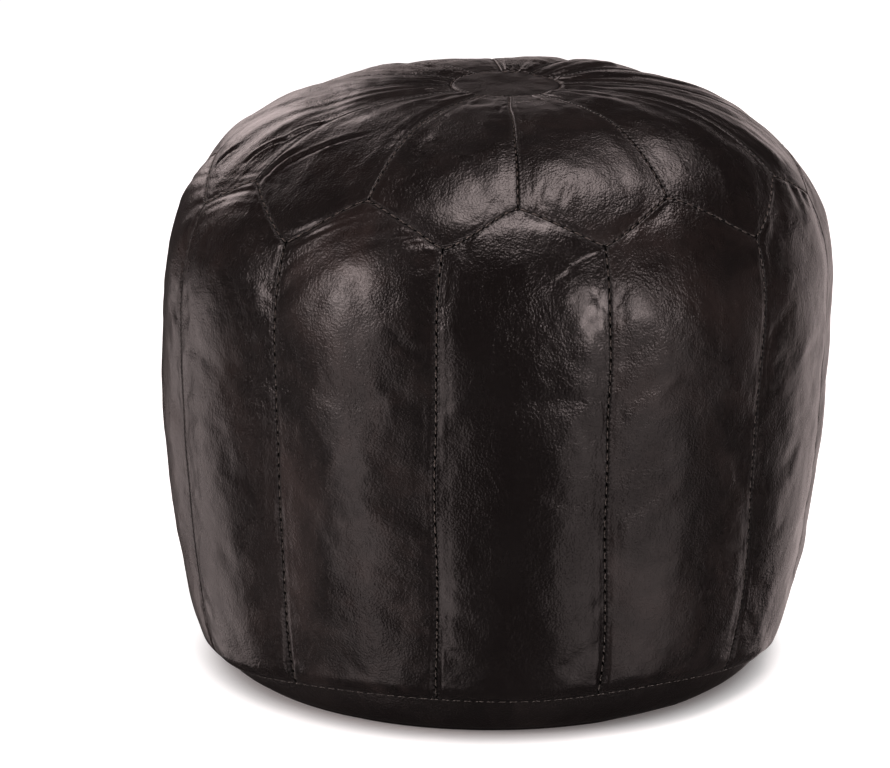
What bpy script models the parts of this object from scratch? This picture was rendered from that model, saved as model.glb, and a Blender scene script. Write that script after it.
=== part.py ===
"""Round leather pouf, in metres, +Z up.

Twelve top petals and twelve side panels are sewn round a small top disc, on a base of two
half-moons with a zip between them. A cotton lining bag inside holds the stuffing. The origin is
the middle of the underside, on the floor. The front is -Y and the zip runs along X.
"""

import math

import bmesh
import bpy
from mathutils import Matrix, Vector

# Stuffed shape
HEIGHT = 0.350  # floor to the middle of the top disc
DIAMETER = 0.400  # across the middles of the side panels
BELLY_HEIGHT = 0.205  # where the sides are fullest
FOOT_INSET = 0.048  # from the widest part in to the edge of the flat underside
DOME_POWER = 2.9  # roundness of the dome, 2 being an ellipse
FOOT_RISE_POWER = 2.0
FOOT_SPREAD_POWER = 2.5
GORES = 12

# Leather cover
LEATHER = 0.0015
SEAM_ALLOWANCE = 0.006  # depth of a turned-in edge
DISC_DIAMETER = 0.068
PEAK_DROP = 0.042  # zigzag seam, from the top down to its peaks
VALLEY_DROP = 0.062  # and down to its valleys
BASE_SEAM_HEIGHT = 0.025
PANEL_SWELL = 0.004  # how far a side panel stands out between its seams
PETAL_SWELL = 0.004

# Sewing thread, and the gap between two turned edges that it lies in
THREAD_DIAMETER = 0.0008
THREAD_CLEARANCE = 0.0005
THREAD_DEPTH = 0.0010  # below the outer face of the leather
SEAM_GAP = THREAD_DIAMETER + 2 * THREAD_CLEARANCE

# Lining bag and stuffing
LINING = 0.001
LINING_CLEARANCE = 0.0015
LINING_MOUTH_DIAMETER = 0.120

# Zip, upside down under the base: the pull is nearest the floor and the tape is highest
FIT = 0.0003
SLOT_WIDTH = 0.012
SLOT_MARGIN = 0.013  # from each end of the slot to the edge of the flat underside
TAPE_WIDTH = 0.014
TAPE_THICKNESS = 0.0006
TAPE_TAIL = 0.012  # tape beyond each end of the slot
TOOTH_ROW_WIDTH = 0.0022
TOOTH_HEIGHT = 0.0022
ROW_GAP = 0.0016  # between the two rows, for the slider's post
STOP_LENGTH = 0.003
SLIDER_LENGTH = 0.010
SLIDER_PLATE = 0.0011
SLIDER_WALL = 0.001
BAIL_LENGTH = 0.006
BAIL_WIDTH = 0.0016
BAIL_BRIDGE = 0.0008
BAIL_POST = 0.0012
BAIL_SLACK = 0.0006  # how much higher the bail's hole is than the crossbar in it
PULL_LENGTH = 0.022
PULL_WIDTH = 0.005
PULL_THICKNESS = 0.0009
PULL_EYE_ROOM = 0.0012  # beyond the bail, with the pull lying flat
PULL_HOLE_DIAMETER = 0.002
PULL_END_ROOM = 0.002  # slot left beyond the pull, with the zip open
FLOOR_CLEARANCE = 0.0006

# Mesh detail
PANEL_COLUMNS = 4
PANEL_ROWS = 10
PETAL_ROWS = 6
BAG_STEPS = 24
BAG_SLOPE_STEPS = 6
FOOT_ROWS = 3
PANEL_CROWDING = 0.5  # rows are this much closer together at both ends of a panel
PETAL_CROWDING = 1.35  # rows are closer together at the shoulder, by this power
SMOOTH_ANGLE = 40  # degrees, above which an edge is sharp

# Sizes that follow from the ones above
SEAM_RADIUS = DIAMETER / 2 - PANEL_SWELL
FLOOR_RADIUS = DIAMETER / 2 - FOOT_INSET
DISC_RADIUS = DISC_DIAMETER / 2
PEAK_HEIGHT = HEIGHT - PEAK_DROP
VALLEY_HEIGHT = HEIGHT - VALLEY_DROP
HALF_GORE = math.pi / GORES
HALF_GAP = SEAM_GAP / 2
BASE_RIM_HEIGHT = BASE_SEAM_HEIGHT - HALF_GAP
ROUND_STEPS = GORES * PANEL_COLUMNS

BAIL_HOLE_HEIGHT = PULL_THICKNESS + BAIL_SLACK
BRIDGE_TOP = FLOOR_CLEARANCE + BAIL_BRIDGE
PULL_AXIS_HEIGHT = BRIDGE_TOP + BAIL_HOLE_HEIGHT / 2
FRONT_PLATE_LOW = BRIDGE_TOP + BAIL_HOLE_HEIGHT
TEETH_LOW = FRONT_PLATE_LOW + SLIDER_PLATE + FIT
TEETH_HIGH = TEETH_LOW + TOOTH_HEIGHT
TAPE_LOW = TEETH_HIGH + FIT
BACK_PLATE_LOW = TAPE_LOW + TAPE_THICKNESS + FIT
BACK_PLATE_HIGH = BACK_PLATE_LOW + SLIDER_PLATE
ZIP_RECESS = TEETH_HIGH  # the slot's turned edges reach up to the tape
SLOT_LENGTH = 2 * (FLOOR_RADIUS - SLOT_MARGIN)
ZIP_LENGTH = SLOT_LENGTH - 2 * (PULL_LENGTH - SLIDER_LENGTH / 2 + PULL_END_ROOM)
SLIDER_HALF_WIDTH = ROW_GAP / 2 + TOOTH_ROW_WIDTH + FIT + SLIDER_WALL
CLOSED_X = ZIP_LENGTH / 2 - SLIDER_LENGTH / 2 - FIT  # slider's middle, with the zip closed

LINING_INSET = SEAM_ALLOWANCE + LINING_CLEARANCE
LINING_FLOOR = BACK_PLATE_HIGH + LINING_CLEARANCE

LEATHER_LOOK = ("black_leather", (0.020, 0.015, 0.014), 0.38, 0.0)
BASE_LOOK = ("base_leather", (0.012, 0.010, 0.010), 0.60, 0.0)
THREAD_LOOK = ("waxed_thread", (0.030, 0.024, 0.022), 0.70, 0.0)
LINING_LOOK = ("cotton_lining", (0.62, 0.56, 0.46), 0.90, 0.0)
STUFFING_LOOK = ("cotton_stuffing", (0.80, 0.77, 0.70), 1.00, 0.0)
TAPE_LOOK = ("zip_tape", (0.015, 0.015, 0.016), 0.85, 0.0)
TEETH_LOOK = ("zip_teeth", (0.020, 0.020, 0.021), 0.45, 0.0)
METAL_LOOK = ("zip_metal", (0.30, 0.29, 0.28), 0.35, 1.0)


def clear_scene():
    for obj in list(bpy.data.objects):
        bpy.data.objects.remove(obj)


def material(look):
    name, colour, roughness, metallic = look
    found = bpy.data.materials.get(name)
    if found:
        return found
    made = bpy.data.materials.new(name)
    made.use_nodes = True
    shader = made.node_tree.nodes["Principled BSDF"]
    shader.inputs["Base Color"].default_value = (*colour, 1)
    shader.inputs["Roughness"].default_value = roughness
    shader.inputs["Metallic"].default_value = metallic
    return made


def piece(name, data, look, place=(0, 0, 0)):
    """Links a mesh or a curve as a named object."""
    obj = bpy.data.objects.new(name, data)
    obj.data.materials.clear()
    obj.data.materials.append(material(look))
    obj.location = place
    bpy.context.scene.collection.objects.link(obj)
    return obj


def mesh_from(name, bm):
    mesh = bpy.data.meshes.new(name)
    bm.to_mesh(mesh)
    bm.free()
    mesh.shade_smooth()
    mesh.set_sharp_from_angle(angle=math.radians(SMOOTH_ANGLE))
    return mesh


def thicken(obj, thickness):
    """Gives a sheet its thickness, towards the inside."""
    modifier = obj.modifiers.new("thickness", "SOLIDIFY")
    modifier.thickness = thickness
    modifier.offset = -1
    modifier.use_even_offset = True
    modifier.use_quality_normals = True


# The stuffed shape: one superellipse over the belly and another under it


def radius_at(height):
    if height >= BELLY_HEIGHT:
        rise = (height - BELLY_HEIGHT) / (HEIGHT - BELLY_HEIGHT)
        return SEAM_RADIUS * (1 - rise**DOME_POWER) ** (1 / DOME_POWER)
    drop = (BELLY_HEIGHT - height) / BELLY_HEIGHT
    spread = (1 - drop**FOOT_RISE_POWER) ** (1 / FOOT_SPREAD_POWER)
    return FLOOR_RADIUS + (SEAM_RADIUS - FLOOR_RADIUS) * spread


def dome_height(radius):
    share = (radius / SEAM_RADIUS) ** DOME_POWER
    return BELLY_HEIGHT + (HEIGHT - BELLY_HEIGHT) * (1 - share) ** (1 / DOME_POWER)


def outward(radius, height):
    """Unit normal of the stuffed shape, as (away from the axis, up)."""
    if height >= BELLY_HEIGHT:
        rise = (height - BELLY_HEIGHT) / (HEIGHT - BELLY_HEIGHT)
        away = (radius / SEAM_RADIUS) ** (DOME_POWER - 1) / SEAM_RADIUS
        up = rise ** (DOME_POWER - 1) / (HEIGHT - BELLY_HEIGHT)
    else:
        spread = max(radius - FLOOR_RADIUS, 0) / (SEAM_RADIUS - FLOOR_RADIUS)
        drop = (BELLY_HEIGHT - height) / BELLY_HEIGHT
        away = FOOT_SPREAD_POWER * spread ** (FOOT_SPREAD_POWER - 1) / (SEAM_RADIUS - FLOOR_RADIUS)
        up = -FOOT_RISE_POWER * drop ** (FOOT_RISE_POWER - 1) / BELLY_HEIGHT
    return Vector((away, up)).normalized()


def on_cover(angle, radius, height, stand_out=0.0):
    """A point of the cover. Angle 0 is the front, and stand_out is measured along the normal."""
    away, up = outward(radius, height)
    radius += stand_out * away
    return Vector((radius * math.sin(angle), -radius * math.cos(angle), height + stand_out * up))


def moved_inward(point, depth):
    away, up = outward(math.hypot(point.x, point.y), point.z)
    level = Vector((point.x, point.y, 0)).normalized() if away else Vector()
    return point - depth * (level * away + Vector((0, 0, up)))


def zigzag_height(share):
    """Height of the zigzag seam, from 0 at a valley to 1 at a peak."""
    return VALLEY_HEIGHT + (PEAK_HEIGHT - VALLEY_HEIGHT) * share


# Leather pieces


def turn_edges_in(bm, depth_at):
    """Folds a seam allowance inward all round, and faces the piece outward."""
    border = [edge for edge in bm.edges if edge.is_boundary]
    folded = bmesh.ops.extrude_edge_only(bm, edges=border)["geom"]
    for vert in folded:
        if isinstance(vert, bmesh.types.BMVert):
            vert.co = moved_inward(vert.co, depth_at(vert.co))
    bmesh.ops.recalc_face_normals(bm, faces=bm.faces)
    widest = max(bm.faces, key=lambda face: face.calc_area())
    middle = widest.calc_center_median()
    if (middle - moved_inward(middle, 1)).dot(widest.normal) < 0:
        bmesh.ops.reverse_faces(bm, faces=bm.faces)


def gore_piece(name, rows, place_vertex):
    """A leather gore from a grid, which place_vertex(across -1 to 1, up 0 to 1) lays on the cover."""
    bm = bmesh.new()
    bmesh.ops.create_grid(bm, x_segments=PANEL_COLUMNS, y_segments=rows, size=1)
    for vert in bm.verts:
        vert.co = place_vertex(vert.co.x, (vert.co.y + 1) / 2)
    turn_edges_in(bm, lambda point: SEAM_ALLOWANCE)
    obj = piece(name, mesh_from(name, bm), LEATHER_LOOK)
    thicken(obj, LEATHER)


def swelling(across, up):
    """0 on the seams, rising to 1 in the middle of a panel."""
    return (1 - across**2) * (1 - (2 * up - 1) ** 4)


def gore_angle(middle, across, radius):
    return middle + across * (HALF_GORE - math.asin(HALF_GAP / radius))


def side_row_height(up, top):
    low = BASE_SEAM_HEIGHT + HALF_GAP
    crowded = up - PANEL_CROWDING * math.sin(2 * math.pi * up) / (2 * math.pi)
    return low + (top - low) * crowded


def side_panel(number):
    middle = 2 * HALF_GORE * number

    def place(across, up):
        height = side_row_height(up, zigzag_height(1 - abs(across)) - HALF_GAP)
        radius = radius_at(height)
        angle = gore_angle(middle, across, radius)
        return on_cover(angle, radius, height, PANEL_SWELL * swelling(across, up))

    gore_piece(f"side_panel_{number + 1:02d}", PANEL_ROWS, place)


def top_petal(number):
    middle = 2 * HALF_GORE * (number + 0.5)

    def place(across, up):
        outer = radius_at(zigzag_height(abs(across)) + HALF_GAP)
        inner = DISC_RADIUS + HALF_GAP
        radius = outer + (inner - outer) * up**PETAL_CROWDING
        angle = gore_angle(middle, across, radius)
        swell = PETAL_SWELL * swelling(across, up)
        return on_cover(angle, radius, dome_height(radius), swell)

    gore_piece(f"top_petal_{number + 1:02d}", PETAL_ROWS, place)


def turned(bm, profile, steps):
    """Spins a profile of (radius, height) points round the Z axis, and closes it on the axis."""
    verts = [bm.verts.new((0, -radius, height)) for radius, height in profile]
    edges = [bm.edges.new(pair) for pair in zip(verts, verts[1:])]
    bmesh.ops.spin(
        bm,
        geom=verts + edges,
        cent=(0, 0, 0),
        axis=(0, 0, 1),
        angle=2 * math.pi,
        steps=steps,
        use_merge=True,
    )
    bmesh.ops.remove_doubles(bm, verts=bm.verts, dist=FIT / 10)


def centre_disc():
    bm = bmesh.new()
    radius = DISC_RADIUS - HALF_GAP
    profile = [(0, HEIGHT), (radius / 2, dome_height(radius / 2)), (radius, dome_height(radius))]
    turned(bm, profile, ROUND_STEPS)
    turn_edges_in(bm, lambda point: SEAM_ALLOWANCE)
    obj = piece("centre_disc", mesh_from("centre_disc", bm), LEATHER_LOOK)
    thicken(obj, LEATHER)


def base_half(name, turn):
    """Half of the base, cut along the zip, with a notch that is half of the zip's slot."""
    bm = bmesh.new()
    profile = [(0, 0), (FLOOR_RADIUS / 2, 0), (FLOOR_RADIUS, 0)]
    for row in range(1, FOOT_ROWS + 1):
        height = BASE_RIM_HEIGHT * (row / FOOT_ROWS) ** 2
        profile.append((radius_at(height), height))
    turned(bm, profile, ROUND_STEPS)
    cuts = (((0, HALF_GAP, 0), (0, 1, 0)), ((0, SLOT_WIDTH / 2, 0), (0, 1, 0)))
    cuts += tuple(((side * SLOT_LENGTH / 2, 0, 0), (1, 0, 0)) for side in (-1, 1))
    for number, (point, normal) in enumerate(cuts):
        bmesh.ops.bisect_plane(
            bm,
            geom=bm.verts[:] + bm.edges[:] + bm.faces[:],
            dist=1e-6,
            plane_co=point,
            plane_no=normal,
            clear_inner=number == 0,
        )
    notch = [
        face
        for face in bm.faces
        if abs(face.calc_center_median().x) < SLOT_LENGTH / 2
        and face.calc_center_median().y < SLOT_WIDTH / 2
    ]
    bmesh.ops.delete(bm, geom=notch, context="FACES")
    rim = BASE_RIM_HEIGHT - FIT
    turn_edges_in(bm, lambda point: SEAM_ALLOWANCE if point.z > rim else ZIP_RECESS)
    bm.transform(Matrix.Rotation(turn, 4, "Z"))
    obj = piece(name, mesh_from(name, bm), BASE_LOOK)
    thicken(obj, LEATHER)


# Thread


def thread(name, points, closed):
    curve = bpy.data.curves.new(name, "CURVE")
    curve.dimensions = "3D"
    curve.bevel_depth = THREAD_DIAMETER / 2
    curve.bevel_resolution = 1
    curve.use_fill_caps = not closed
    spline = curve.splines.new("POLY")
    spline.points.add(len(points) - 1)
    for target, point in zip(spline.points, points):
        target.co = (*point, 1)
    spline.use_cyclic_u = closed
    piece(name, curve, THREAD_LOOK)


def ring_thread(name, radius_and_height):
    """A thread all round, where radius_and_height(step) gives the seam at each step."""
    points = []
    for step in range(ROUND_STEPS):
        radius, height = radius_and_height(step)
        angle = 2 * math.pi * step / ROUND_STEPS
        points.append(on_cover(angle, radius, height, -THREAD_DEPTH))
    thread(name, points, closed=True)


def zigzag_at(step):
    """The zigzag seam has its peaks at the middles of the side panels."""
    share = abs((step % PANEL_COLUMNS) / PANEL_COLUMNS - 0.5) * 2
    height = zigzag_height(share)
    return radius_at(height), height


def side_seam_thread(number):
    """Runs up between two side panels, and stops short of the threads at its ends."""
    angle = 2 * HALF_GORE * (number + 0.5)
    top = VALLEY_HEIGHT - HALF_GAP
    points = []
    for row in range(PANEL_ROWS + 1):
        height = side_row_height(row / PANEL_ROWS, top)
        points.append(on_cover(angle, radius_at(height), height, -THREAD_DEPTH))
    points[0] = points[0].lerp(points[1], 2 * THREAD_DIAMETER / (points[1] - points[0]).length)
    points[-1] = points[-1].lerp(points[-2], 2 * THREAD_DIAMETER / (points[-1] - points[-2]).length)
    thread(f"side_seam_thread_{number + 1:02d}", points, closed=False)


# Lining bag and stuffing


def inset_point(radius, height, inset):
    away, up = outward(radius, height)
    return radius - inset * away, height - inset * up


def bag_profile(inset, floor, end_radius):
    """The stuffed shape moved inward by inset, from the top down to end_radius on a flat floor."""
    slopes = [math.pi / 2 * (step + 1) / BAG_SLOPE_STEPS for step in range(BAG_SLOPE_STEPS)]
    points = [(0, HEIGHT - inset)]
    for slope in slopes:
        radius = SEAM_RADIUS * math.sin(slope) ** (2 / DOME_POWER)
        points.append(inset_point(radius, dome_height(radius), inset))
    for slope in slopes:
        height = BELLY_HEIGHT * (1 - math.sin(slope))
        if height > LINING_FLOOR:
            points.append(inset_point(radius_at(height), height, inset))
    return points + [(FLOOR_RADIUS - SEAM_ALLOWANCE, floor), (end_radius, floor)]


def lining_bag():
    bm = bmesh.new()
    mouth = LINING_MOUTH_DIAMETER / 2
    outside = bag_profile(LINING_INSET, LINING_FLOOR, mouth)
    inside = bag_profile(LINING_INSET + LINING, LINING_FLOOR + LINING, mouth)
    turned(bm, outside + inside[::-1], BAG_STEPS)
    bmesh.ops.recalc_face_normals(bm, faces=bm.faces)
    piece("lining_bag", mesh_from("lining_bag", bm), LINING_LOOK)


def stuffing():
    bm = bmesh.new()
    inset = LINING_INSET + LINING + FIT
    turned(bm, bag_profile(inset, LINING_FLOOR + LINING + FIT, 0), BAG_STEPS)
    bmesh.ops.recalc_face_normals(bm, faces=bm.faces)
    piece("stuffing", mesh_from("stuffing", bm), STUFFING_LOOK)


# Zip


def box_mesh(name, low, high):
    bm = bmesh.new()
    bmesh.ops.create_cube(bm, size=1)
    size = Vector(high) - Vector(low)
    bmesh.ops.scale(bm, vec=size, verts=bm.verts)
    bmesh.ops.translate(bm, vec=(Vector(low) + Vector(high)) / 2, verts=bm.verts)
    return mesh_from(name, bm)


def extruded_mesh(name, outline, reach):
    """A closed outline of points, extruded by the vector reach."""
    bm = bmesh.new()
    face = bm.faces.new([bm.verts.new(point) for point in outline])
    pulled = bmesh.ops.extrude_face_region(bm, geom=[face])["geom"]
    verts = [item for item in pulled if isinstance(item, bmesh.types.BMVert)]
    bmesh.ops.translate(bm, vec=reach, verts=verts)
    bmesh.ops.recalc_face_normals(bm, faces=bm.faces)
    return mesh_from(name, bm)


def shape_with(obj, operation, mesh):
    """Adds or cuts a helper shape, which stays in the file as a wire guide."""
    helper = bpy.data.objects.new(f"{obj.name}_{mesh.name}_guide", mesh)
    helper.location = obj.location
    helper.hide_render = True
    helper.display_type = "WIRE"
    bpy.context.scene.collection.objects.link(helper)
    modifier = obj.modifiers.new(mesh.name, "BOOLEAN")
    modifier.operation = operation
    modifier.object = helper


def zip_tapes_and_teeth():
    half_slot = SLOT_LENGTH / 2 + TAPE_TAIL
    half_teeth = ZIP_LENGTH / 2
    inner = ROW_GAP / 2
    for side, where in ((-1, "front"), (1, "back")):
        edges = sorted((side * inner, side * (inner + TAPE_WIDTH)))
        low = (-half_slot, edges[0], TAPE_LOW)
        high = (half_slot, edges[1], TAPE_LOW + TAPE_THICKNESS)
        piece(f"zip_tape_{where}", box_mesh("tape", low, high), TAPE_LOOK)
        edges = sorted((side * inner, side * (inner + TOOTH_ROW_WIDTH)))
        low = (-half_teeth, edges[0], TEETH_LOW)
        high = (half_teeth, edges[1], TEETH_HIGH)
        piece(f"zip_teeth_{where}", box_mesh("teeth", low, high), TEETH_LOOK)
        low = (half_teeth + FIT, edges[0], TEETH_LOW)
        high = (half_teeth + STOP_LENGTH, edges[1], TEETH_HIGH)
        piece(f"zip_top_stop_{where}", box_mesh("top_stop", low, high), METAL_LOOK)
    reach = inner + TOOTH_ROW_WIDTH
    low = (-half_teeth - STOP_LENGTH, -reach, TEETH_LOW)
    high = (-half_teeth - FIT, reach, TEETH_HIGH)
    piece("zip_bottom_stop", box_mesh("bottom_stop", low, high), METAL_LOOK)


def slider_section():
    """Half of the slider's cross-section, across the zip, from the post's middle outward."""
    post = ROW_GAP / 2 - FIT
    inside = SLIDER_HALF_WIDTH - SLIDER_WALL
    front, back = FRONT_PLATE_LOW - PULL_AXIS_HEIGHT, BACK_PLATE_HIGH - PULL_AXIS_HEIGHT
    lip = TEETH_HIGH - PULL_AXIS_HEIGHT
    return [
        (SLIDER_HALF_WIDTH, front),
        (SLIDER_HALF_WIDTH, lip),
        (inside, lip),
        (inside, front + SLIDER_PLATE),
        (post, front + SLIDER_PLATE),
        (post, back - SLIDER_PLATE),
        (SLIDER_HALF_WIDTH, back - SLIDER_PLATE),
        (SLIDER_HALF_WIDTH, back),
    ]


def zip_slider():
    """Two plates joined by a post between the tooth rows, with a bail for the pull."""
    half = slider_section()
    section = half + [(-across, up) for across, up in reversed(half)]
    outline = [(-SLIDER_LENGTH / 2, across, up) for across, up in section]
    body = extruded_mesh("slider_body", outline, (SLIDER_LENGTH, 0, 0))
    obj = piece("zip_slider", body, METAL_LOOK, (CLOSED_X, 0, PULL_AXIS_HEIGHT))
    end, hole_end = BAIL_LENGTH / 2, BAIL_LENGTH / 2 - BAIL_POST
    low = -BAIL_HOLE_HEIGHT / 2 - BAIL_BRIDGE
    hole_low = -BAIL_HOLE_HEIGHT / 2
    sunk = BAIL_HOLE_HEIGHT / 2 + SLIDER_PLATE / 2
    arch = [
        (-end, sunk),
        (-end, low),
        (end, low),
        (end, sunk),
        (hole_end, sunk),
        (hole_end, hole_low),
        (-hole_end, hole_low),
        (-hole_end, sunk),
    ]
    outline = [(along, -BAIL_WIDTH / 2, up) for along, up in arch]
    shape_with(obj, "UNION", extruded_mesh("bail", outline, (0, BAIL_WIDTH, 0)))


def zip_pull():
    """A flat tab, whose crossbar turns in the slider's bail. It lies back over the teeth."""
    half, bar = PULL_WIDTH / 2, PULL_THICKNESS / 2
    tip, shoulder = PULL_LENGTH, PULL_LENGTH - PULL_WIDTH / 2
    edge = [(bar, half), (-shoulder, half), (-tip, half / 2)]
    edge += [(along, -across) for along, across in reversed(edge)]
    outline = [(along, across, -bar) for along, across in edge]
    tab = extruded_mesh("pull_tab", outline, (0, 0, PULL_THICKNESS))
    obj = piece("zip_pull", tab, METAL_LOOK, (CLOSED_X, 0, PULL_AXIS_HEIGHT))
    eye = BAIL_WIDTH / 2 + FIT
    far = BAIL_LENGTH / 2 + PULL_EYE_ROOM
    low, high = (-far, -eye, -PULL_THICKNESS), (-bar, eye, PULL_THICKNESS)
    shape_with(obj, "DIFFERENCE", box_mesh("eye", low, high))
    bm = bmesh.new()
    bmesh.ops.create_cone(
        bm,
        cap_ends=True,
        segments=12,
        radius1=PULL_HOLE_DIAMETER / 2,
        radius2=PULL_HOLE_DIAMETER / 2,
        depth=3 * PULL_THICKNESS,
        matrix=Matrix.Translation((-shoulder, 0, 0)),
    )
    shape_with(obj, "DIFFERENCE", mesh_from("grip_hole", bm))


def main():
    clear_scene()
    centre_disc()
    for number in range(GORES):
        top_petal(number)
        side_panel(number)
        side_seam_thread(number)
    base_half("base_half_back", 0)
    base_half("base_half_front", math.pi)
    ring_thread("disc_seam_thread", lambda step: (DISC_RADIUS, dome_height(DISC_RADIUS)))
    ring_thread("zigzag_seam_thread", zigzag_at)
    ring_thread("base_seam_thread", lambda step: (radius_at(BASE_SEAM_HEIGHT), BASE_SEAM_HEIGHT))
    lining_bag()
    stuffing()
    zip_tapes_and_teeth()
    zip_slider()
    zip_pull()


main()
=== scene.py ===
"""Leather pouf: soft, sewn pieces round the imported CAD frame, on a pale studio floor."""

import math

import bmesh
import bpy
import numpy as np
from mathutils import Euler, Matrix, Vector


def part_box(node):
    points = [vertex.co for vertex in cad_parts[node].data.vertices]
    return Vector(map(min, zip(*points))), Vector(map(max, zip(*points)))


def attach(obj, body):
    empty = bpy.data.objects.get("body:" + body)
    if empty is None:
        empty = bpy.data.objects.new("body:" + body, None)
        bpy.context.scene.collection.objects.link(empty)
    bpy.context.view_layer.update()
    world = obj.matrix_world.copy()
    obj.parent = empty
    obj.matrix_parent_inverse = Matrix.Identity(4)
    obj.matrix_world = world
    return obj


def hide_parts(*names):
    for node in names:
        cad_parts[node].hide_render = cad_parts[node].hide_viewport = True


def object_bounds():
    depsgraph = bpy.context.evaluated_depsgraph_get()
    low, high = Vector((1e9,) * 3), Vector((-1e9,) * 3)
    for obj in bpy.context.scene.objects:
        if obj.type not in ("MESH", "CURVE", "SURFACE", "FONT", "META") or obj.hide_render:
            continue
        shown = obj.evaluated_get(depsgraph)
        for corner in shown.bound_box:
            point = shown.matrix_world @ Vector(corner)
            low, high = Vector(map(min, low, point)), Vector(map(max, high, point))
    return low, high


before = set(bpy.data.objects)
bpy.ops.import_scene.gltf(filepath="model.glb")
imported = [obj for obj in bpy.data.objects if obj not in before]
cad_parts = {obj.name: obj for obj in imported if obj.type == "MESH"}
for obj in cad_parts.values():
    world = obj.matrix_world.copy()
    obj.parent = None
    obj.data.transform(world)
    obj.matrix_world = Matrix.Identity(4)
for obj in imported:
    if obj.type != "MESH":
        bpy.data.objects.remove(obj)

bl_info = {
    "name": "Leather pouf",
    "version": (1, 0, 0),
    "blender": (4, 5, 0),
    "location": "View3D > Sidebar > Pouf",
    "description": "Sews a round panelled leather pouf round its frame",
    "category": "Add Mesh",
}

CAD_BOX = [list(corner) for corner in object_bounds()]
NUMBERS = [f"{number:02d}" for number in range(1, 13)]
GORES = len(NUMBERS)
HALF_GORE = math.pi / GORES
BODY = "cover"


def middle_height(node):
    low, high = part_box(node)
    return (low[2] + high[2]) / 2


def half_width(node):
    low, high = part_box(node)
    return (high[0] - low[0]) / 2


# ---------------------------------------------------------------- settings


class PoufShape(bpy.types.PropertyGroup):
    belly_height: bpy.props.FloatProperty(
        name="Belly height",
        description="Where the sides are fullest",
        default=0.205,
        unit="LENGTH",
    )
    panel_swell: bpy.props.FloatProperty(
        name="Panel swell",
        description="How far a panel's middle stands out past its seams",
        default=0.004,
        unit="LENGTH",
    )
    foot_inset: bpy.props.FloatProperty(
        name="Foot inset",
        description="From the widest part in to the edge of the flat underside",
        default=0.048,
        unit="LENGTH",
    )
    dome_power: bpy.props.FloatProperty(
        name="Dome power",
        description="Roundness of the dome, 2 being an ellipse",
        default=2.9,
    )
    lean: bpy.props.FloatProperty(
        name="Lean",
        description="How far the top sits to the right of the underside",
        default=0.0078,
        unit="LENGTH",
    )
    dimple: bpy.props.FloatProperty(
        name="Dimple",
        description="How far the middle of the top has sunk",
        default=0.0048,
        unit="LENGTH",
    )
    tip: bpy.props.FloatProperty(
        name="Tip",
        description="Slope of the disc down towards the front",
        default=0.055,
    )
    unevenness: bpy.props.FloatProperty(
        name="Unevenness",
        description="How far the hand-stuffed shape strays from the even one",
        default=0.0022,
        unit="LENGTH",
    )
    slack: bpy.props.FloatProperty(
        name="Slack",
        description="How much larger each piece was cut than the space between its seams",
        default=0.005,
        subtype="FACTOR",
    )


class PoufSewing(bpy.types.PropertyGroup):
    leather: bpy.props.FloatProperty(
        name="Leather",
        description="Thickness of the leather",
        default=0.0012,
        unit="LENGTH",
    )
    edge_radius: bpy.props.FloatProperty(
        name="Edge radius",
        description="How tightly the leather turns into a seam",
        default=0.0010,
        unit="LENGTH",
    )
    allowance: bpy.props.FloatProperty(
        name="Seam allowance",
        description="Width of the turned-in edge, which shows as a low ridge",
        default=0.0055,
        unit="LENGTH",
    )
    stitch: bpy.props.FloatProperty(
        name="Stitch",
        description="From one stitch to the next",
        default=0.0032,
        unit="LENGTH",
    )
    thread: bpy.props.FloatProperty(
        name="Thread",
        description="Thickness of the sewing thread",
        default=0.0006,
        unit="LENGTH",
    )


class PoufColours(bpy.types.PropertyGroup):
    leather_dark: bpy.props.FloatVectorProperty(
        name="Leather, dark",
        description="Deepest tone of the hide",
        default=(0.0050, 0.0038, 0.0037),
        subtype="COLOR",
    )
    leather_brown: bpy.props.FloatVectorProperty(
        name="Leather, brown",
        description="Tone of the rubbed, browner patches",
        default=(0.024, 0.0170, 0.0155),
        subtype="COLOR",
    )
    thread: bpy.props.FloatVectorProperty(
        name="Thread",
        description="Waxed sewing thread",
        default=(0.22, 0.188, 0.172),
        subtype="COLOR",
    )
    cotton: bpy.props.FloatVectorProperty(
        name="Cotton",
        description="Unbleached lining",
        default=(0.62, 0.56, 0.46),
        subtype="COLOR",
    )
    metal: bpy.props.FloatVectorProperty(
        name="Zip metal",
        description="Dark nickel plate of the zip's slider",
        default=(0.30, 0.29, 0.28),
        subtype="COLOR",
    )
    floor: bpy.props.FloatVectorProperty(
        name="Floor",
        description="Studio floor",
        default=(0.86, 0.86, 0.86),
        subtype="COLOR",
    )


def settings():
    scene = bpy.context.scene
    return scene.pouf_shape, scene.pouf_sewing, scene.pouf_colours


# ---------------------------------------------------------------- stuffed shape


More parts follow.
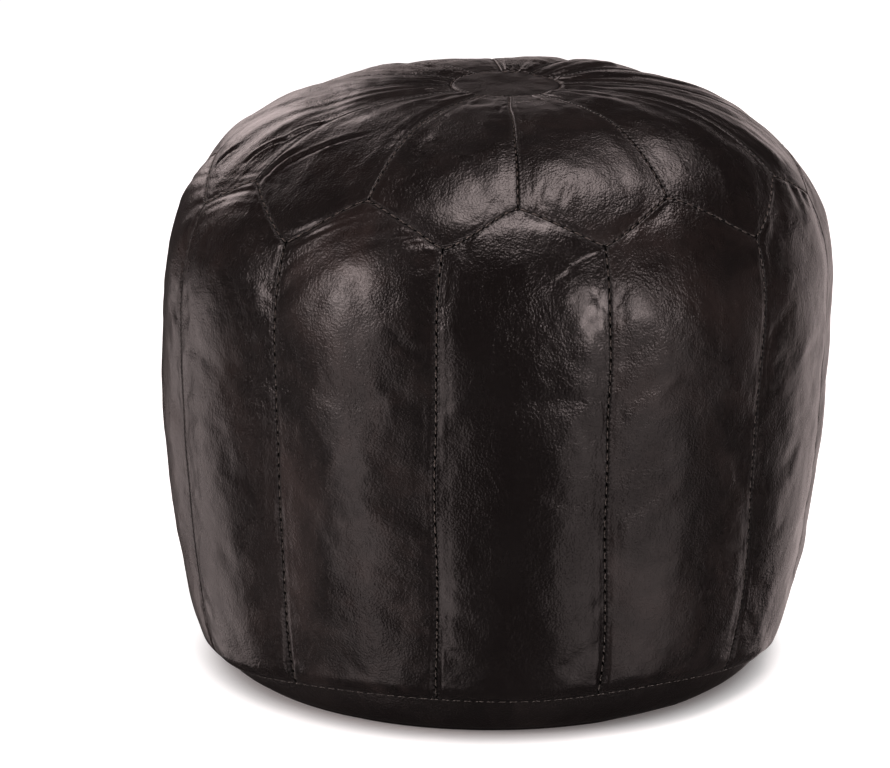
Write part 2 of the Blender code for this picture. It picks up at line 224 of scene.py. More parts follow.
class Section:
    """Half section of the stuffed shape, by length along it from the edge of the underside."""

    STEPS = 500

    def __init__(self, shape):
        high = Vector(CAD_BOX[1])
        self.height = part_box("centre_disc")[1][2]
        self.seam_radius = high.x - shape.panel_swell
        self.floor_radius = high.x - shape.foot_inset
        turn = np.linspace(0, math.pi / 2, self.STEPS)
        low_height = shape.belly_height * (1 - np.cos(turn))
        spread = np.sin(turn) ** 0.8
        low_radius = self.floor_radius + (self.seam_radius - self.floor_radius) * spread
        share = 2 / shape.dome_power
        dome = self.height - shape.belly_height
        high_height = shape.belly_height + dome * np.sin(turn) ** share
        high_radius = self.seam_radius * np.clip(np.cos(turn), 0, 1) ** share
        self.heights = np.concatenate([low_height, high_height[1:]])
        self.radii = np.concatenate([low_radius, high_radius[1:]])
        steps = np.hypot(np.diff(self.heights), np.diff(self.radii))
        self.lengths = np.concatenate([[0], np.cumsum(steps)])
        self.away = np.gradient(self.heights, self.lengths)
        self.up = -np.gradient(self.radii, self.lengths)
        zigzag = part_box("zigzag_seam_thread")
        self.base_seam = self.length_at_height(middle_height("base_seam_thread"))
        self.valley = self.length_at_height(zigzag[0][2])
        self.peak = self.length_at_height(zigzag[1][2])
        self.disc_seam = self.length_at_radius(half_width("disc_seam_thread") * 0.95)

    def length_at_height(self, height):
        return np.interp(height, self.heights, self.lengths)

    def length_at_radius(self, radius):
        """On the dome, where the radius only falls."""
        dome = slice(self.STEPS, None)
        return float(np.interp(-radius, -self.radii[dome], self.lengths[dome]))

    def radius(self, length):
        return np.interp(length, self.lengths, self.radii)

    def zigzag(self, angle):
        """Length at the zigzag seam, whose corners are rounded, the peaks more than the valleys."""
        roundness = 0.992
        wave = (np.arccos(roundness * np.cos(GORES * angle)) / math.pi) ** 1.12
        return self.peak + (self.valley - self.peak) * wave

    def foot(self, angle):
        """Length at the base seam, which sags towards the floor at the left and the right."""
        return self.base_seam * (1 - FOOT_SAG * np.sin(angle) ** 4)

    def sewn(self, angle, length, lift=0.0):
        """As point, with every seam straying from its even place as a hand-sewn one does."""
        low, high = self.foot(angle), self.zigzag(angle)
        rise = np.clip((length - low) / (high - low), 0, 1)
        beyond = np.clip((length - high) / (self.disc_seam - high), 0, 1)
        foot = between_seams(angle, SEAM_STRAYS["foot"])
        middle = between_seams(angle, SEAM_STRAYS["middle"])
        corner = between_seams(angle, SEAM_STRAYS["zigzag"])
        lower = foot + (middle - foot) * smooth_step(rise, 0, 0.55)
        around = lower + (corner - lower) * smooth_step(rise, 0.55, 1) * (1 - 0.7 * beyond)
        raised = between_seams(angle, SEAM_STRAYS["height"])
        raised = raised * np.exp(-(((length - high) / 0.045) ** 2))
        return self.point(angle + around / 0.196, length + raised, lift)

    def point(self, angle, length, lift=0.0):
        """Points at the lift given above the surface. Angle 0 is the front."""
        radius = np.interp(length, self.lengths, self.radii)
        height = np.interp(length, self.lengths, self.heights)
        away = np.interp(length, self.lengths, self.away)
        up = np.interp(length, self.lengths, self.up)
        size = np.hypot(away, up)
        radius = radius + lift * away / size
        height = height + lift * up / size
        return np.stack([radius * np.sin(angle), -radius * np.cos(angle), height], axis=-1)


FOOT_SAG = 0.6
FOOT_TUCK = 0.0015
SUNK_RADIUS = 0.056
BACK_RISE = 0.0032
BACK_RISE_AT = 0.085
BACK_RISE_ACROSS = 0.11
BACK_RISE_DEEP = 0.05

SEAM_STRAYS = {
    "foot": {45: 0.005},
    "middle": {-75: 0.007, -45: 0.005, 15: -0.0076, 45: -0.0062, 135: 0.004, -135: -0.003},
    "zigzag": {
        -60: -0.0065,
        -45: -0.0016,
        -30: -0.006,
        -15: -0.0012,
        0: -0.0075,
        15: -0.0064,
        30: -0.0065,
        60: 0.007,
        120: 0.004,
        150: -0.004,
        -150: 0.005,
    },
    "height": {
        -60: -0.0012,
        -45: -0.0069,
        -15: -0.0012,
        15: 0.0006,
        30: 0.0019,
        45: -0.0078,
        60: -0.0028,
        135: -0.004,
        180: 0.003,
        -120: 0.003,
    },
}


def between_seams(angle, strays):
    """How far the leather strays at an angle, from the strays in metres at seams given in degrees."""
    seams = np.arange(-180, 195, 15)
    known = np.array([strays.get(abs(int(seam)) if seam == -180 else int(seam), 0.0) for seam in seams])
    at = (np.mod(np.degrees(angle) + 180, 360)) / 15
    first = np.clip(np.floor(at).astype(int), 0, len(seams) - 2)
    part = at - first
    return known[first] + (known[first + 1] - known[first]) * part * part * (3 - 2 * part)


def cloud(points, size, seed):
    """Smooth noise from -1 to 1, with features of the size given, at an array of points."""
    lattice = np.random.default_rng(seed).uniform(-1, 1, (32, 32, 32))
    place = np.asarray(points, float) / size + 1000
    cell = np.floor(place).astype(int)
    part = place - cell
    part = part * part * part * (part * (part * 6 - 15) + 10)
    total = np.zeros(place.shape[:-1])
    for corner in np.ndindex(2, 2, 2):
        weight = np.ones(place.shape[:-1])
        index = []
        for axis in range(3):
            share = part[..., axis]
            weight = weight * (share if corner[axis] else 1 - share)
            index.append((cell[..., axis] + corner[axis]) % 32)
        total += weight * lattice[tuple(index)]
    return total


def settled(points):
    """Where the hand-stuffed, slightly leaning pouf has a point of the even shape."""
    shape = bpy.context.scene.pouf_shape
    points = np.asarray(points, float)
    height = points[..., 2:3]
    free = np.clip(height / 0.05, 0, 1)
    wander = np.stack([cloud(points, 0.085, seed) for seed in (3, 4, 5)], axis=-1)
    fine = np.stack([cloud(points, 0.032, seed) for seed in (6, 7, 8)], axis=-1)
    moved = points + free * (shape.unevenness * wander + 0.25 * shape.unevenness * fine)
    moved[..., 0] += shape.lean * points[..., 2] / CAD_BOX[1][2]
    top = smooth_step(points[..., 2], 0.25, 0.32)
    middle = np.exp(-((points[..., 0] ** 2 + points[..., 1] ** 2) / SUNK_RADIUS**2))
    moved[..., 2] -= top * middle * (shape.dimple - shape.tip * points[..., 1])
    across = points[..., 0] / BACK_RISE_ACROSS
    deep = (points[..., 1] - BACK_RISE_AT) / BACK_RISE_DEEP
    moved[..., 2] += BACK_RISE * top * np.exp(-(across**2 + deep**2))
    return moved


# ---------------------------------------------------------------- shader maths


class Number:
    """A shader socket that takes part in Python arithmetic."""

    def __init__(self, tree, socket):
        self.tree = tree
        self.socket = socket

    def _with(self, operation, *others):
        return self.tree.number("ShaderNodeMath", {"operation": operation}, [self, *others])

    def _reflected(self, operation, other):
        return self.tree.number("ShaderNodeMath", {"operation": operation}, [other, self])

    def __add__(self, other):
        return self._with("ADD", other)

    def __radd__(self, other):
        return self._reflected("ADD", other)

    def __sub__(self, other):
        return self._with("SUBTRACT", other)

    def __rsub__(self, other):
        return self._reflected("SUBTRACT", other)

    def __mul__(self, other):
        return self._with("MULTIPLY", other)

    def __rmul__(self, other):
        return self._reflected("MULTIPLY", other)

    def __truediv__(self, other):
        return self._with("DIVIDE", other)

    def __pow__(self, other):
        return self._with("POWER", other)

    def sine(self):
        return self._with("SINE")

    def size(self):
        return self._with("ABSOLUTE")

    def clamped(self):
        return self.tree.number("ShaderNodeClamp", {}, [self, 0.0, 1.0])

    def fade(self, low, high, start=0.0, end=1.0):
        """Rises smoothly from start to end as this goes from low to high."""
        choice = {"interpolation_type": "SMOOTHSTEP"}
        return self.tree.number("ShaderNodeMapRange", choice, [self, low, high, start, end])


class Finish:
    """One material's nodes, added by type, settings and inputs."""

    def __init__(self, name):
        self.material = bpy.data.materials.new(name)
        self.material.use_nodes = True
        self.nodes = self.material.node_tree.nodes
        self.links = self.material.node_tree.links
        self.shader = self.nodes["Principled BSDF"]

    def node(self, kind, choices, values):
        """Adds a node. Values are a list by socket order, or a dict by socket name."""
        made = self.nodes.new(kind)
        for name, value in choices.items():
            setattr(made, name, value)
        pairs = values.items() if isinstance(values, dict) else enumerate(values)
        for key, value in pairs:
            self.put(made.inputs[key], value)
        return made

    def put(self, socket, value):
        value = value.socket if isinstance(value, Number) else value
        if isinstance(value, bpy.types.NodeSocket):
            self.links.new(value, socket)
        else:
            socket.default_value = value

    def number(self, kind, choices, values, output=0):
        return Number(self, self.node(kind, choices, values).outputs[output])

    def place(self):
        return self.node("ShaderNodeTexCoord", {}, []).outputs["Object"]

    def stretched(self, vector, scale, shift=(0, 0, 0)):
        values = {"Vector": vector, "Scale": scale, "Location": shift}
        return self.node("ShaderNodeMapping", {}, values).outputs["Vector"]

    def attribute(self, name):
        return self.number("ShaderNodeAttribute", {"attribute_name": name}, [], "Fac")

    def uv(self, name):
        return self.node("ShaderNodeUVMap", {"uv_map": name}, []).outputs["UV"]

    def noise(self, vector, scale, detail=2.0, roughness=0.5, distortion=0.0):
        values = {"Vector": vector, "Scale": scale, "Detail": detail}
        values |= {"Roughness": roughness, "Distortion": distortion}
        return self.number("ShaderNodeTexNoise", {}, values, "Fac")

    def cells(self, vector, scale, feature="F1", output="Distance"):
        values = {"Vector": vector, "Scale": scale}
        return self.number("ShaderNodeTexVoronoi", {"feature": feature}, values, output)

    def blend(self, factor, first, second):
        choices = {"data_type": "RGBA"}
        values = {0: factor, 6: self.colour(first), 7: self.colour(second)}
        return self.node("ShaderNodeMix", choices, values).outputs[2]

    def colour(self, value):
        return value if isinstance(value, bpy.types.NodeSocket) else (*value, 1)

    def scaled(self, colour, factor):
        values = {0: self.colour(colour)[:3] if isinstance(colour, tuple) else colour}
        node = self.node("ShaderNodeVectorMath", {"operation": "SCALE"}, values)
        self.put(node.inputs["Scale"], factor)
        return node.outputs[0]

    def bump(self, height, depth, under=None):
        """Height from 0 to 1, over the depth given in metres."""
        values = {"Height": height, "Strength": 1.0, "Distance": depth}
        if under is not None:
            values["Normal"] = under
        return self.node("ShaderNodeBump", {}, values).outputs[0]

    def surface(self, **values):
        for name, value in values.items():
            self.put(self.shader.inputs[name.replace("_", " ")], value)
        return self.material


def once(make):
    """Keeps the material that a function makes, and gives it again."""
    kept = {}

    def given(*args):
        key = args
        if key not in kept:
            kept[key] = make(*args)
        return kept[key]

    return given


# ---------------------------------------------------------------- finishes


@once
def goat_leather(gloss):
    """Glazed goatskin, near black, browner where it is rubbed, with painted shade in its seam grooves. Gloss
    is 0 dull to 1 glossy.
    """
    colours = bpy.context.scene.pouf_colours
    stitch = bpy.context.scene.pouf_sewing.stitch
    finish = Finish(f"goat_leather_{round(gloss * 100)}")
    place = finish.place()
    along = finish.uv("hide")
    tone = finish.attribute("tone")
    gap = finish.attribute("seam_gap")
    run = finish.attribute("seam_run")

    patches = finish.noise(finish.stretched(place, (1, 1, 0.7)), 13, 5, 0.62, 0.6)
    mottle = finish.noise(along, 60, 4, 0.6, 0.4)
    # The brown follows rubbed patches and each piece's tone. On the panels that tone also carries painted
    # shade.
    rubbed = (patches.fade(0.44, 0.74) * 0.75 + mottle.fade(0.42, 0.8) * 0.35) * tone
    colour = finish.blend(rubbed.clamped(), tuple(colours.leather_dark), tuple(colours.leather_brown))
    dust = finish.noise(finish.stretched(along, (1, 0.25, 1)), 900, 2, 0.6).fade(0.62, 0.8)
    colour = finish.blend((dust * rubbed * 0.35).clamped(), colour, (0.075, 0.062, 0.058))
    # Painted shade: the base colour is darkened down into each seam's groove, and the coat is thinned there
    # too.
    painted_seam_shade = gap.fade(0.0002, 0.0017, 0.15, 1.0)
    colour = finish.scaled(colour, painted_seam_shade)

    warped = finish.noise(place, 180, 2, 0.5)
    skin = finish.node("ShaderNodeVectorMath", {"operation": "ADD"}, {0: place})
    shake = finish.node("ShaderNodeVectorMath", {"operation": "SCALE"}, {0: (1, 1, 1)})
    finish.put(shake.inputs["Scale"], warped * 0.0016)
    finish.put(skin.inputs[1], shake.outputs[0])
    pebble = finish.cells(skin.outputs[0], 900, "SMOOTH_F1")
    pores = finish.noise(place, 1900, 2, 0.6)
    creases = finish.noise(finish.stretched(along, (1, 0.28, 1)), 430, 3, 0.65, 0.8)
    soft = finish.noise(place, 95, 3, 0.55)
    relief = pebble.fade(0.05, 0.75) * 0.5 + pores * 0.35 + creases * 0.3
    normal = finish.bump(soft, 0.0007)
    normal = finish.bump(relief, 0.00024, normal)
    beat = (run * (2 * math.pi / stitch)).sine()
    dimple = (beat * 0.5 + 0.5) * gap.fade(0.0004, 0.0024, 1.0, 0.0)
    normal = finish.bump(dimple, 0.00030, normal)

    polish = finish.noise(finish.stretched(place, (1, 1, 0.8)), 22, 4, 0.6)
    rough = 0.32 - 0.10 * gloss + (polish - 0.5) * 0.22 + creases * 0.05
    rough = rough + gap.fade(0.0, 0.003, 0.15, 0.0)
    return finish.surface(
        Base_Color=colour,
        Roughness=rough.clamped(),
        Normal=normal,
        Specular_IOR_Level=0.45,
        Coat_Weight=(polish.fade(0.35, 0.7) * painted_seam_shade * (0.18 + 0.35 * gloss)).clamped(),
        Coat_Roughness=0.17,
    )


@once
def sewing_thread():
    colours = bpy.context.scene.pouf_colours
    finish = Finish("sewing_thread")
    place = finish.place()
    fibre = finish.noise(place, 2600, 2, 0.6)
    colour = finish.blend(fibre.fade(0.3, 0.7), tuple(colours.thread), (0.018, 0.014, 0.012))
    return finish.surface(Base_Color=colour, Roughness=0.55 + fibre * 0.2, Normal=finish.bump(fibre, 0.0001))


@once
def cotton_lining():
    colours = bpy.context.scene.pouf_colours
    finish = Finish("cotton_lining")
    place = finish.place()
    threads = {"Vector": place, "Scale": 260}
    across = finish.number("ShaderNodeTexWave", {"bands_direction": "Z"}, threads, "Fac")
    down = finish.number("ShaderNodeTexWave", {"bands_direction": "DIAGONAL"}, threads, "Fac")
    slub = finish.noise(place, 320, 3, 0.6)
    weave = across * 0.5 + down * 0.5
    colour = finish.blend((weave * 0.5 + slub * 0.4).clamped(), (0.40, 0.35, 0.27), tuple(colours.cotton))
    return finish.surface(
        Base_Color=colour,
        Roughness=0.92,
        Normal=finish.bump(weave, 0.0004),
        Sheen_Weight=0.2,
    )


@once
def cotton_stuffing():
    finish = Finish("cotton_stuffing")
    place = finish.place()
    tuft = finish.noise(place, 60, 6, 0.7, 0.8)
    flecks = finish.cells(place, 90)
    colour = finish.blend(tuft.fade(0.3, 0.7), (0.52, 0.49, 0.44), (0.84, 0.81, 0.74))
    colour = finish.blend(flecks.fade(0.0, 0.18, 0.35, 0.0), colour, (0.25, 0.27, 0.34))
    return finish.surface(Base_Color=colour, Roughness=1.0, Normal=finish.bump(tuft, 0.006), Sheen_Weight=0.4)


@once
def zip_tape_cloth():
    finish = Finish("zip_tape_cloth")
    place = finish.place()
    rib = finish.number("ShaderNodeTexWave", {"bands_direction": "X"}, {"Vector": place, "Scale": 520}, "Fac")
    cords = {"Vector": place, "Scale": 300}
    cord = finish.number("ShaderNodeTexWave", {"bands_direction": "Y"}, cords, "Fac")
    lint = finish.noise(place, 700, 3, 0.6)
    weave = rib * 0.6 + cord * 0.4
    colour = finish.blend((weave * 0.6 + lint * 0.3).clamped(), (0.006, 0.006, 0.007), (0.034, 0.034, 0.036))
    return finish.surface(
        Base_Color=colour,
        Roughness=0.88,
        Normal=finish.bump(weave, 0.0003),
        Sheen_Weight=0.15,
    )


@once
def nylon_coil():
    finish = Finish("nylon_coil")
    place = finish.place()
    scuff = finish.noise(place, 900, 3, 0.6)
    colour = finish.blend(scuff.fade(0.45, 0.75), (0.012, 0.012, 0.013), (0.040, 0.040, 0.042))
    return finish.surface(Base_Color=colour, Roughness=0.34 + scuff * 0.2, Normal=finish.bump(scuff, 0.00005))


@once
def nickel_plate():
    colours = bpy.context.scene.pouf_colours
    finish = Finish("nickel_plate")
    place = finish.place()
    wear = finish.noise(place, 420, 4, 0.65)
    brush = finish.noise(finish.stretched(place, (0.1, 1, 1)), 4200, 2, 0.5)
    colour = finish.blend(wear.fade(0.5, 0.8), tuple(colours.metal), (0.46, 0.42, 0.36))
    rough = 0.26 + wear * 0.22 + brush * 0.08
    normal = finish.bump(brush * 0.6 + wear * 0.4, 0.00004)
    return finish.surface(Base_Color=colour, Metallic=1.0, Roughness=rough.clamped(), Normal=normal)


# ---------------------------------------------------------------- making pieces


def finished(name, data, material, nodes=(), body=BODY):
    """Links a piece, hangs it under the empty of the body it rides on, and hides the nodes it stands for."""
    piece = bpy.data.objects.new(name, data)
    bpy.context.scene.collection.objects.link(piece)
    data.materials.clear()
    data.materials.append(material)
    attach(piece, body)
    if nodes:
        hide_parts(*nodes)
    return piece


def coordinates(mesh):
    flat = np.empty(len(mesh.vertices) * 3)
    mesh.vertices.foreach_get("co", flat)
    return flat.reshape(-1, 3)


def put_coordinates(mesh, points):
    mesh.vertices.foreach_set("co", np.asarray(points, np.float32).ravel())
    mesh.update()


def float_attribute(mesh, name, values):
    made = mesh.attributes.new(name, "FLOAT", "POINT")
    values = np.broadcast_to(np.asarray(values, np.float32), (len(mesh.vertices),))
    made.data.foreach_set("value", np.ascontiguousarray(values))


def hide_map(mesh, flat):
    """A UV map in metres on the hide, from two numbers for each vertex."""
    corners = np.empty(len(mesh.loops), np.int32)
    mesh.loops.foreach_get("vertex_index", corners)
    layer = mesh.uv_layers.new(name="hide")
    layer.data.foreach_set("uv", np.asarray(flat, np.float32)[corners].ravel())


def mesh_of(name, bm):
    mesh = bpy.data.meshes.new(name)
    bm.to_mesh(mesh)
    bm.free()
    mesh.shade_smooth()
    return mesh


def walled(piece, thickness):
    """Gives a leather sheet its thickness, inwards."""
    wall = piece.modifiers.new("leather", "SOLIDIFY")
    wall.thickness = thickness
    wall.offset = -1
    return piece


class Cut:
    """One kind of leather gore: a grid from seam to seam, with a turned-in edge all round.

    Across runs from -1 to 1 between its side seams, and up from 0 to 1."""

    GAP = 0.00025
    TURNED = 0.0032

    def __init__(self, section, petal, columns, rows):
        self.section = section
        self.petal = petal
        self.columns = columns
        self.rows = rows

    def grid(self):
        """The grid's across and up values, and 1 on the outermost ring, which is turned in."""
        across, turned_across = self.ruler(self.columns, 1.7)
        up, turned_up = self.ruler(self.rows, 1.35)
        across, up = np.meshgrid(across, (up + 1) / 2)
        turned = np.maximum(*np.meshgrid(turned_across, turned_up))
        return across, up, turned

    @staticmethod
    def ruler(count, power):
        """Values from -1 to 1, closer together towards both ends, whose last step is the turned edge."""
        even = np.abs(np.linspace(-1, 1, count - 1))
        value = np.sign(np.linspace(-1, 1, count - 1)) * (1 - (1 - even) ** power)
        turned = np.zeros(count + 1)
        turned[[0, -1]] = 1
        return np.concatenate([[-1], value, [1]]), turned

    def middle(self, number):
        return HALF_GORE * (2 * number + (1 if self.petal else 0))

    def lay(self, number, across, up):
        """Angles and lengths on the stuffed shape, and the distance to each of the four seams."""
        section = self.section
        middle = self.middle(number)
        angle = middle + across * HALF_GORE
        zigzag = section.zigzag(angle)
        low, high = (zigzag, section.disc_seam) if self.petal else (section.foot(angle), zigzag)
        length = low + self.GAP + (high - low - 2 * self.GAP) * up
        radius = section.radius(length)
        angle = middle + across * (HALF_GORE - self.GAP / radius)
        side = (1 - np.abs(across)) * HALF_GORE * radius
        slope = 0.89
        to_low = (length - low) * (slope if self.petal else 1)
        to_high = (high - length) * (1 if self.petal else slope)
        return angle, length, side, to_low, to_high


def petal_cut(section):
    return Cut(section, True, 68, 96)


def panel_cut(section):
    return Cut(section, False, 76, 150)


# ---------------------------------------------------------------- leather under pressure


COARSE_PANEL = (26, 66)
COARSE_PETAL = (24, 38)
PANEL_WRINKLES = 0.5
PETAL_WRINKLES = 0.35


def swollen(cut, across, up):
    """How far a piece stands out between its seams, the flatter petals less than the panels."""
    crown = (1 - np.abs(across) ** 3) * (1 - (2 * up - 1) ** 6)
    fullness = 0.3 if cut.petal else 0.65
    return bpy.context.scene.pouf_shape.panel_swell * fullness * crown


def cloth_under_pressure(sheets):
    """Inflates sheets of points, pinned along their edges, and returns each sheet's moves."""
    shape = bpy.context.scene.pouf_shape
    bm = bmesh.new()
    starts = []
    rims = []
    for sheet in sheets:
        rows, columns = sheet.shape[:2]
        starts.append(len(bm.verts))
        made = bmesh.ops.create_grid(bm, x_segments=columns - 1, y_segments=rows - 1, size=1)["verts"]
        bm.verts.ensure_lookup_table()
        for vert, point in zip(made, sheet.reshape(-1, 3)):
            vert.co = point
        edge = np.zeros((rows, columns), bool)
        edge[[0, -1]] = True
        edge[:, [0, -1]] = True
        rims.append(edge.ravel())
    mesh = mesh_of("cover_under_pressure", bm)
    cover = bpy.data.objects.new("cover_under_pressure", mesh)
    bpy.context.scene.collection.objects.link(cover)
    group = cover.vertex_groups.new(name="seams")
    group.add([int(i) for i in np.flatnonzero(np.concatenate(rims))], 1.0, "ADD")
    cloth = cover.modifiers.new("leather", "CLOTH")
    cloth.settings.vertex_group_mass = "seams"
    cloth.settings.quality = 6
    cloth.settings.mass = 0.9
    cloth.settings.tension_stiffness = 60
    cloth.settings.compression_stiffness = 60
    cloth.settings.shear_stiffness = 40
    cloth.settings.bending_stiffness = 6
    cloth.settings.tension_damping = 20
    cloth.settings.compression_damping = 20
    cloth.settings.bending_damping = 1
    cloth.settings.air_damping = 4
    cloth.settings.shrink_min = -shape.slack
    cloth.settings.use_pressure = True
    cloth.settings.uniform_pressure_force = 5
    cloth.settings.effector_weights.gravity = 0
    cloth.collision_settings.use_self_collision = False
    cloth.collision_settings.use_collision = False
    scene = bpy.context.scene
    for number in range(1, 22):
        scene.frame_set(number)
    evaluated = cover.evaluated_get(bpy.context.evaluated_depsgraph_get())
    after = coordinates(evaluated.data)
    scene.frame_set(1)
    bpy.data.objects.remove(cover)
    moves = []
    for start, sheet in zip(starts, sheets):
        count = sheet.shape[0] * sheet.shape[1]
        moves.append(after[start : start + count].reshape(sheet.shape) - sheet)
    return moves


def spread_weights(places, count):
    """Cubic weights that carry values at count even stations from 0 to 1 over to the places given."""
    at = np.clip(places, 0, 1) * (count - 1)
    first = np.clip(np.floor(at).astype(int), 0, count - 2)
    part = at - first
    weights = np.zeros((len(at), count))
    row = np.arange(len(at))
    bases = (
        (-1, -0.5 * part + part**2 - 0.5 * part**3),
        (0, 1 - 2.5 * part**2 + 1.5 * part**3),
        (1, 0.5 * part + 2 * part**2 - 1.5 * part**3),
        (2, -0.5 * part**2 + 0.5 * part**3),
    )
    for step, basis in bases:
        np.add.at(weights, (row, np.clip(first + step, 0, count - 1)), basis)
    return weights


def pressed_moves(cuts):
    """For each cut and number, how far the stuffing moves the leather on a coarse grid."""
    flats, swells = [], []
    for cut, (columns, rows) in cuts:
        across, up = np.meshgrid(np.linspace(-1, 1, columns), np.linspace(0, 1, rows))
        for number in range(GORES):
            angle, length, *_ = cut.lay(number, across, up)
            flats.append(cut.section.point(angle, length))
            swells.append(cut.section.point(angle, length, swollen(cut, across, up)))
    smooth = [swell - flat for flat, swell in zip(flats, swells)]
    limit = 2.2 * bpy.context.scene.pouf_shape.panel_swell
    moves = []
    for number, (even, pressed) in enumerate(zip(smooth, cloth_under_pressure(swells))):
        pressed = pressed + even
        size = np.linalg.norm(pressed, axis=-1, keepdims=True)
        pressed = pressed * limit / np.maximum(size, limit)
        wrinkles = PETAL_WRINKLES if number < GORES else PANEL_WRINKLES
        moves.append(even + wrinkles * (pressed - even))
    return moves


# ---------------------------------------------------------------- leather relief


def rolled_edge(distance, radius):
    """How far the leather has turned down at a distance from its seam."""
    left = radius - np.clip(distance, 0, radius)
    return radius - np.sqrt(radius**2 - left**2)


def smooth_step(value, low, high):
    part = np.clip((value - low) / (high - low), 0, 1)
    return part * part * (3 - 2 * part)


def folds(angle, length, spacing, stretch, seed):
    """Long soft folds that run up the pouf, from -1 to 1."""
    place = np.stack([angle / spacing, length / stretch, np.zeros_like(angle)], axis=-1)
    return cloud(place, 1.0, seed)


def crease(angle, length, radius, mark):
    """One short worn crease: a narrow valley between two low banks."""
    at_angle, at_length, heading, reach, width, depth = mark
    along_round = (np.mod(angle - at_angle + math.pi, 2 * math.pi) - math.pi) * radius
    along_up = length - at_length
    run = along_round * math.cos(heading) + along_up * math.sin(heading)
    off = -along_round * math.sin(heading) + along_up * math.cos(heading)
    off = off + 0.12 * run**2 / reach
    fade = np.exp(-((run / reach) ** 4))
    valley = np.exp(-((off / width) ** 2))
    banks = np.exp(-(((np.abs(off) - 2 * width) / width) ** 2))
    return depth * fade * (0.45 * banks - valley)


def petal_relief(section, angle, length, side, low, high):
    """Folds drawn in round the disc, tension lines towards the rim, and puckers at the zigzag."""
    inward = np.exp(-high / 0.030)
    radial = folds(angle, length, 0.062, 0.25, 21)
    sharp = 1 - 2.2 * np.abs(folds(angle, length, 0.115, 0.40, 22))
    sideways = np.sin(angle) ** 2
    lines = folds(angle, length, 0.085, 0.30, 23)
    pucker = folds(angle * section.radius(length) / 0.011, length, 1.0, 0.05, 24)
    height = 0.0006 * inward * radial
    height += 0.0005 * np.exp(-high / 0.05) * np.clip(sharp, -1, 1) * (0.4 + 0.9 * sideways)
    height += 0.0011 * sideways * lines * smooth_step(low, 0.0, 0.03)
    height += 0.00045 * pucker * np.exp(-low / 0.012)
    return height


def panel_relief(section, angle, length, side, low, high):
    """Puckers under the zigzag, faint upright folds below them, and the base seam's pull."""
    around = angle * section.radius(length)
    short = folds(around / 0.009, length, 1.0, 0.035, 31)
    long = folds(around / 0.020, length, 1.0, 0.12, 32)
    foot = folds(around / 0.016, length, 1.0, 0.03, 33)
    height = 0.0008 * short * np.exp(-high / 0.014)
    height += 0.0008 * long * np.exp(-high / 0.045)
    height += 0.0007 * foot * np.exp(-low / 0.014)
    height += 0.0035 * smooth_step(low, 0.0, 0.012) * np.exp(-low / 0.022)
    beside = folds(side / 0.02, length, 1.0, 0.016, 34)
    height += 0.00035 * beside * np.exp(-side / 0.009)
    return height


CREASES = (
    (math.radians(-63), 0.372, math.radians(68), 0.013, 0.0016, 0.0016),
    (math.radians(-68), 0.347, math.radians(62), 0.012, 0.0016, 0.0016),
    (math.radians(-58), 0.343, math.radians(75), 0.014, 0.0018, 0.0013),
    (math.radians(-49), 0.372, math.radians(50), 0.015, 0.0015, 0.0010),
    (math.radians(-81), 0.332, math.radians(70), 0.010, 0.0015, 0.0014),
    (math.radians(-53), 0.358, math.radians(58), 0.017, 0.0014, 0.0008),
    (math.radians(9), 0.337, math.radians(62), 0.010, 0.0015, 0.0007),
    (math.radians(4), 0.335, math.radians(78), 0.009, 0.0014, 0.0004),
    (math.radians(12), 0.341, math.radians(75), 0.009, 0.0012, 0.0005),
    (math.radians(10), 0.296, math.radians(28), 0.012, 0.0012, 0.0006),
    (math.radians(8), 0.290, math.radians(24), 0.010, 0.0010, 0.0005),
    (math.radians(-5), 0.437, math.radians(80), 0.008, 0.0014, 0.0003),
    (math.radians(-3), 0.440, math.radians(85), 0.007, 0.0012, 0.0002),
    (math.radians(128), 0.350, math.radians(65), 0.014, 0.0016, 0.0012),
    (math.radians(134), 0.362, math.radians(75), 0.012, 0.0015, 0.0010),
    (math.radians(-159), 0.345, math.radians(70), 0.012, 0.0015, 0.0010),
)


# How brown each panel is, partly the leather's own tone and partly painted shade: the front panel gets no
# brown, so it reads darker.
PANEL_TONES_WITH_SHADE = (0.0, 0.8, 0.45, 1.0, 0.6, 1.2, 0.4, 0.9, 0.7, 1.1, 0.6, 1.2)
PETAL_TONES = (0.9, 0.5, 0.4, 0.8, 0.6, 1.0, 0.5, 0.9, 0.7, 0.5, 0.4, 0.8)


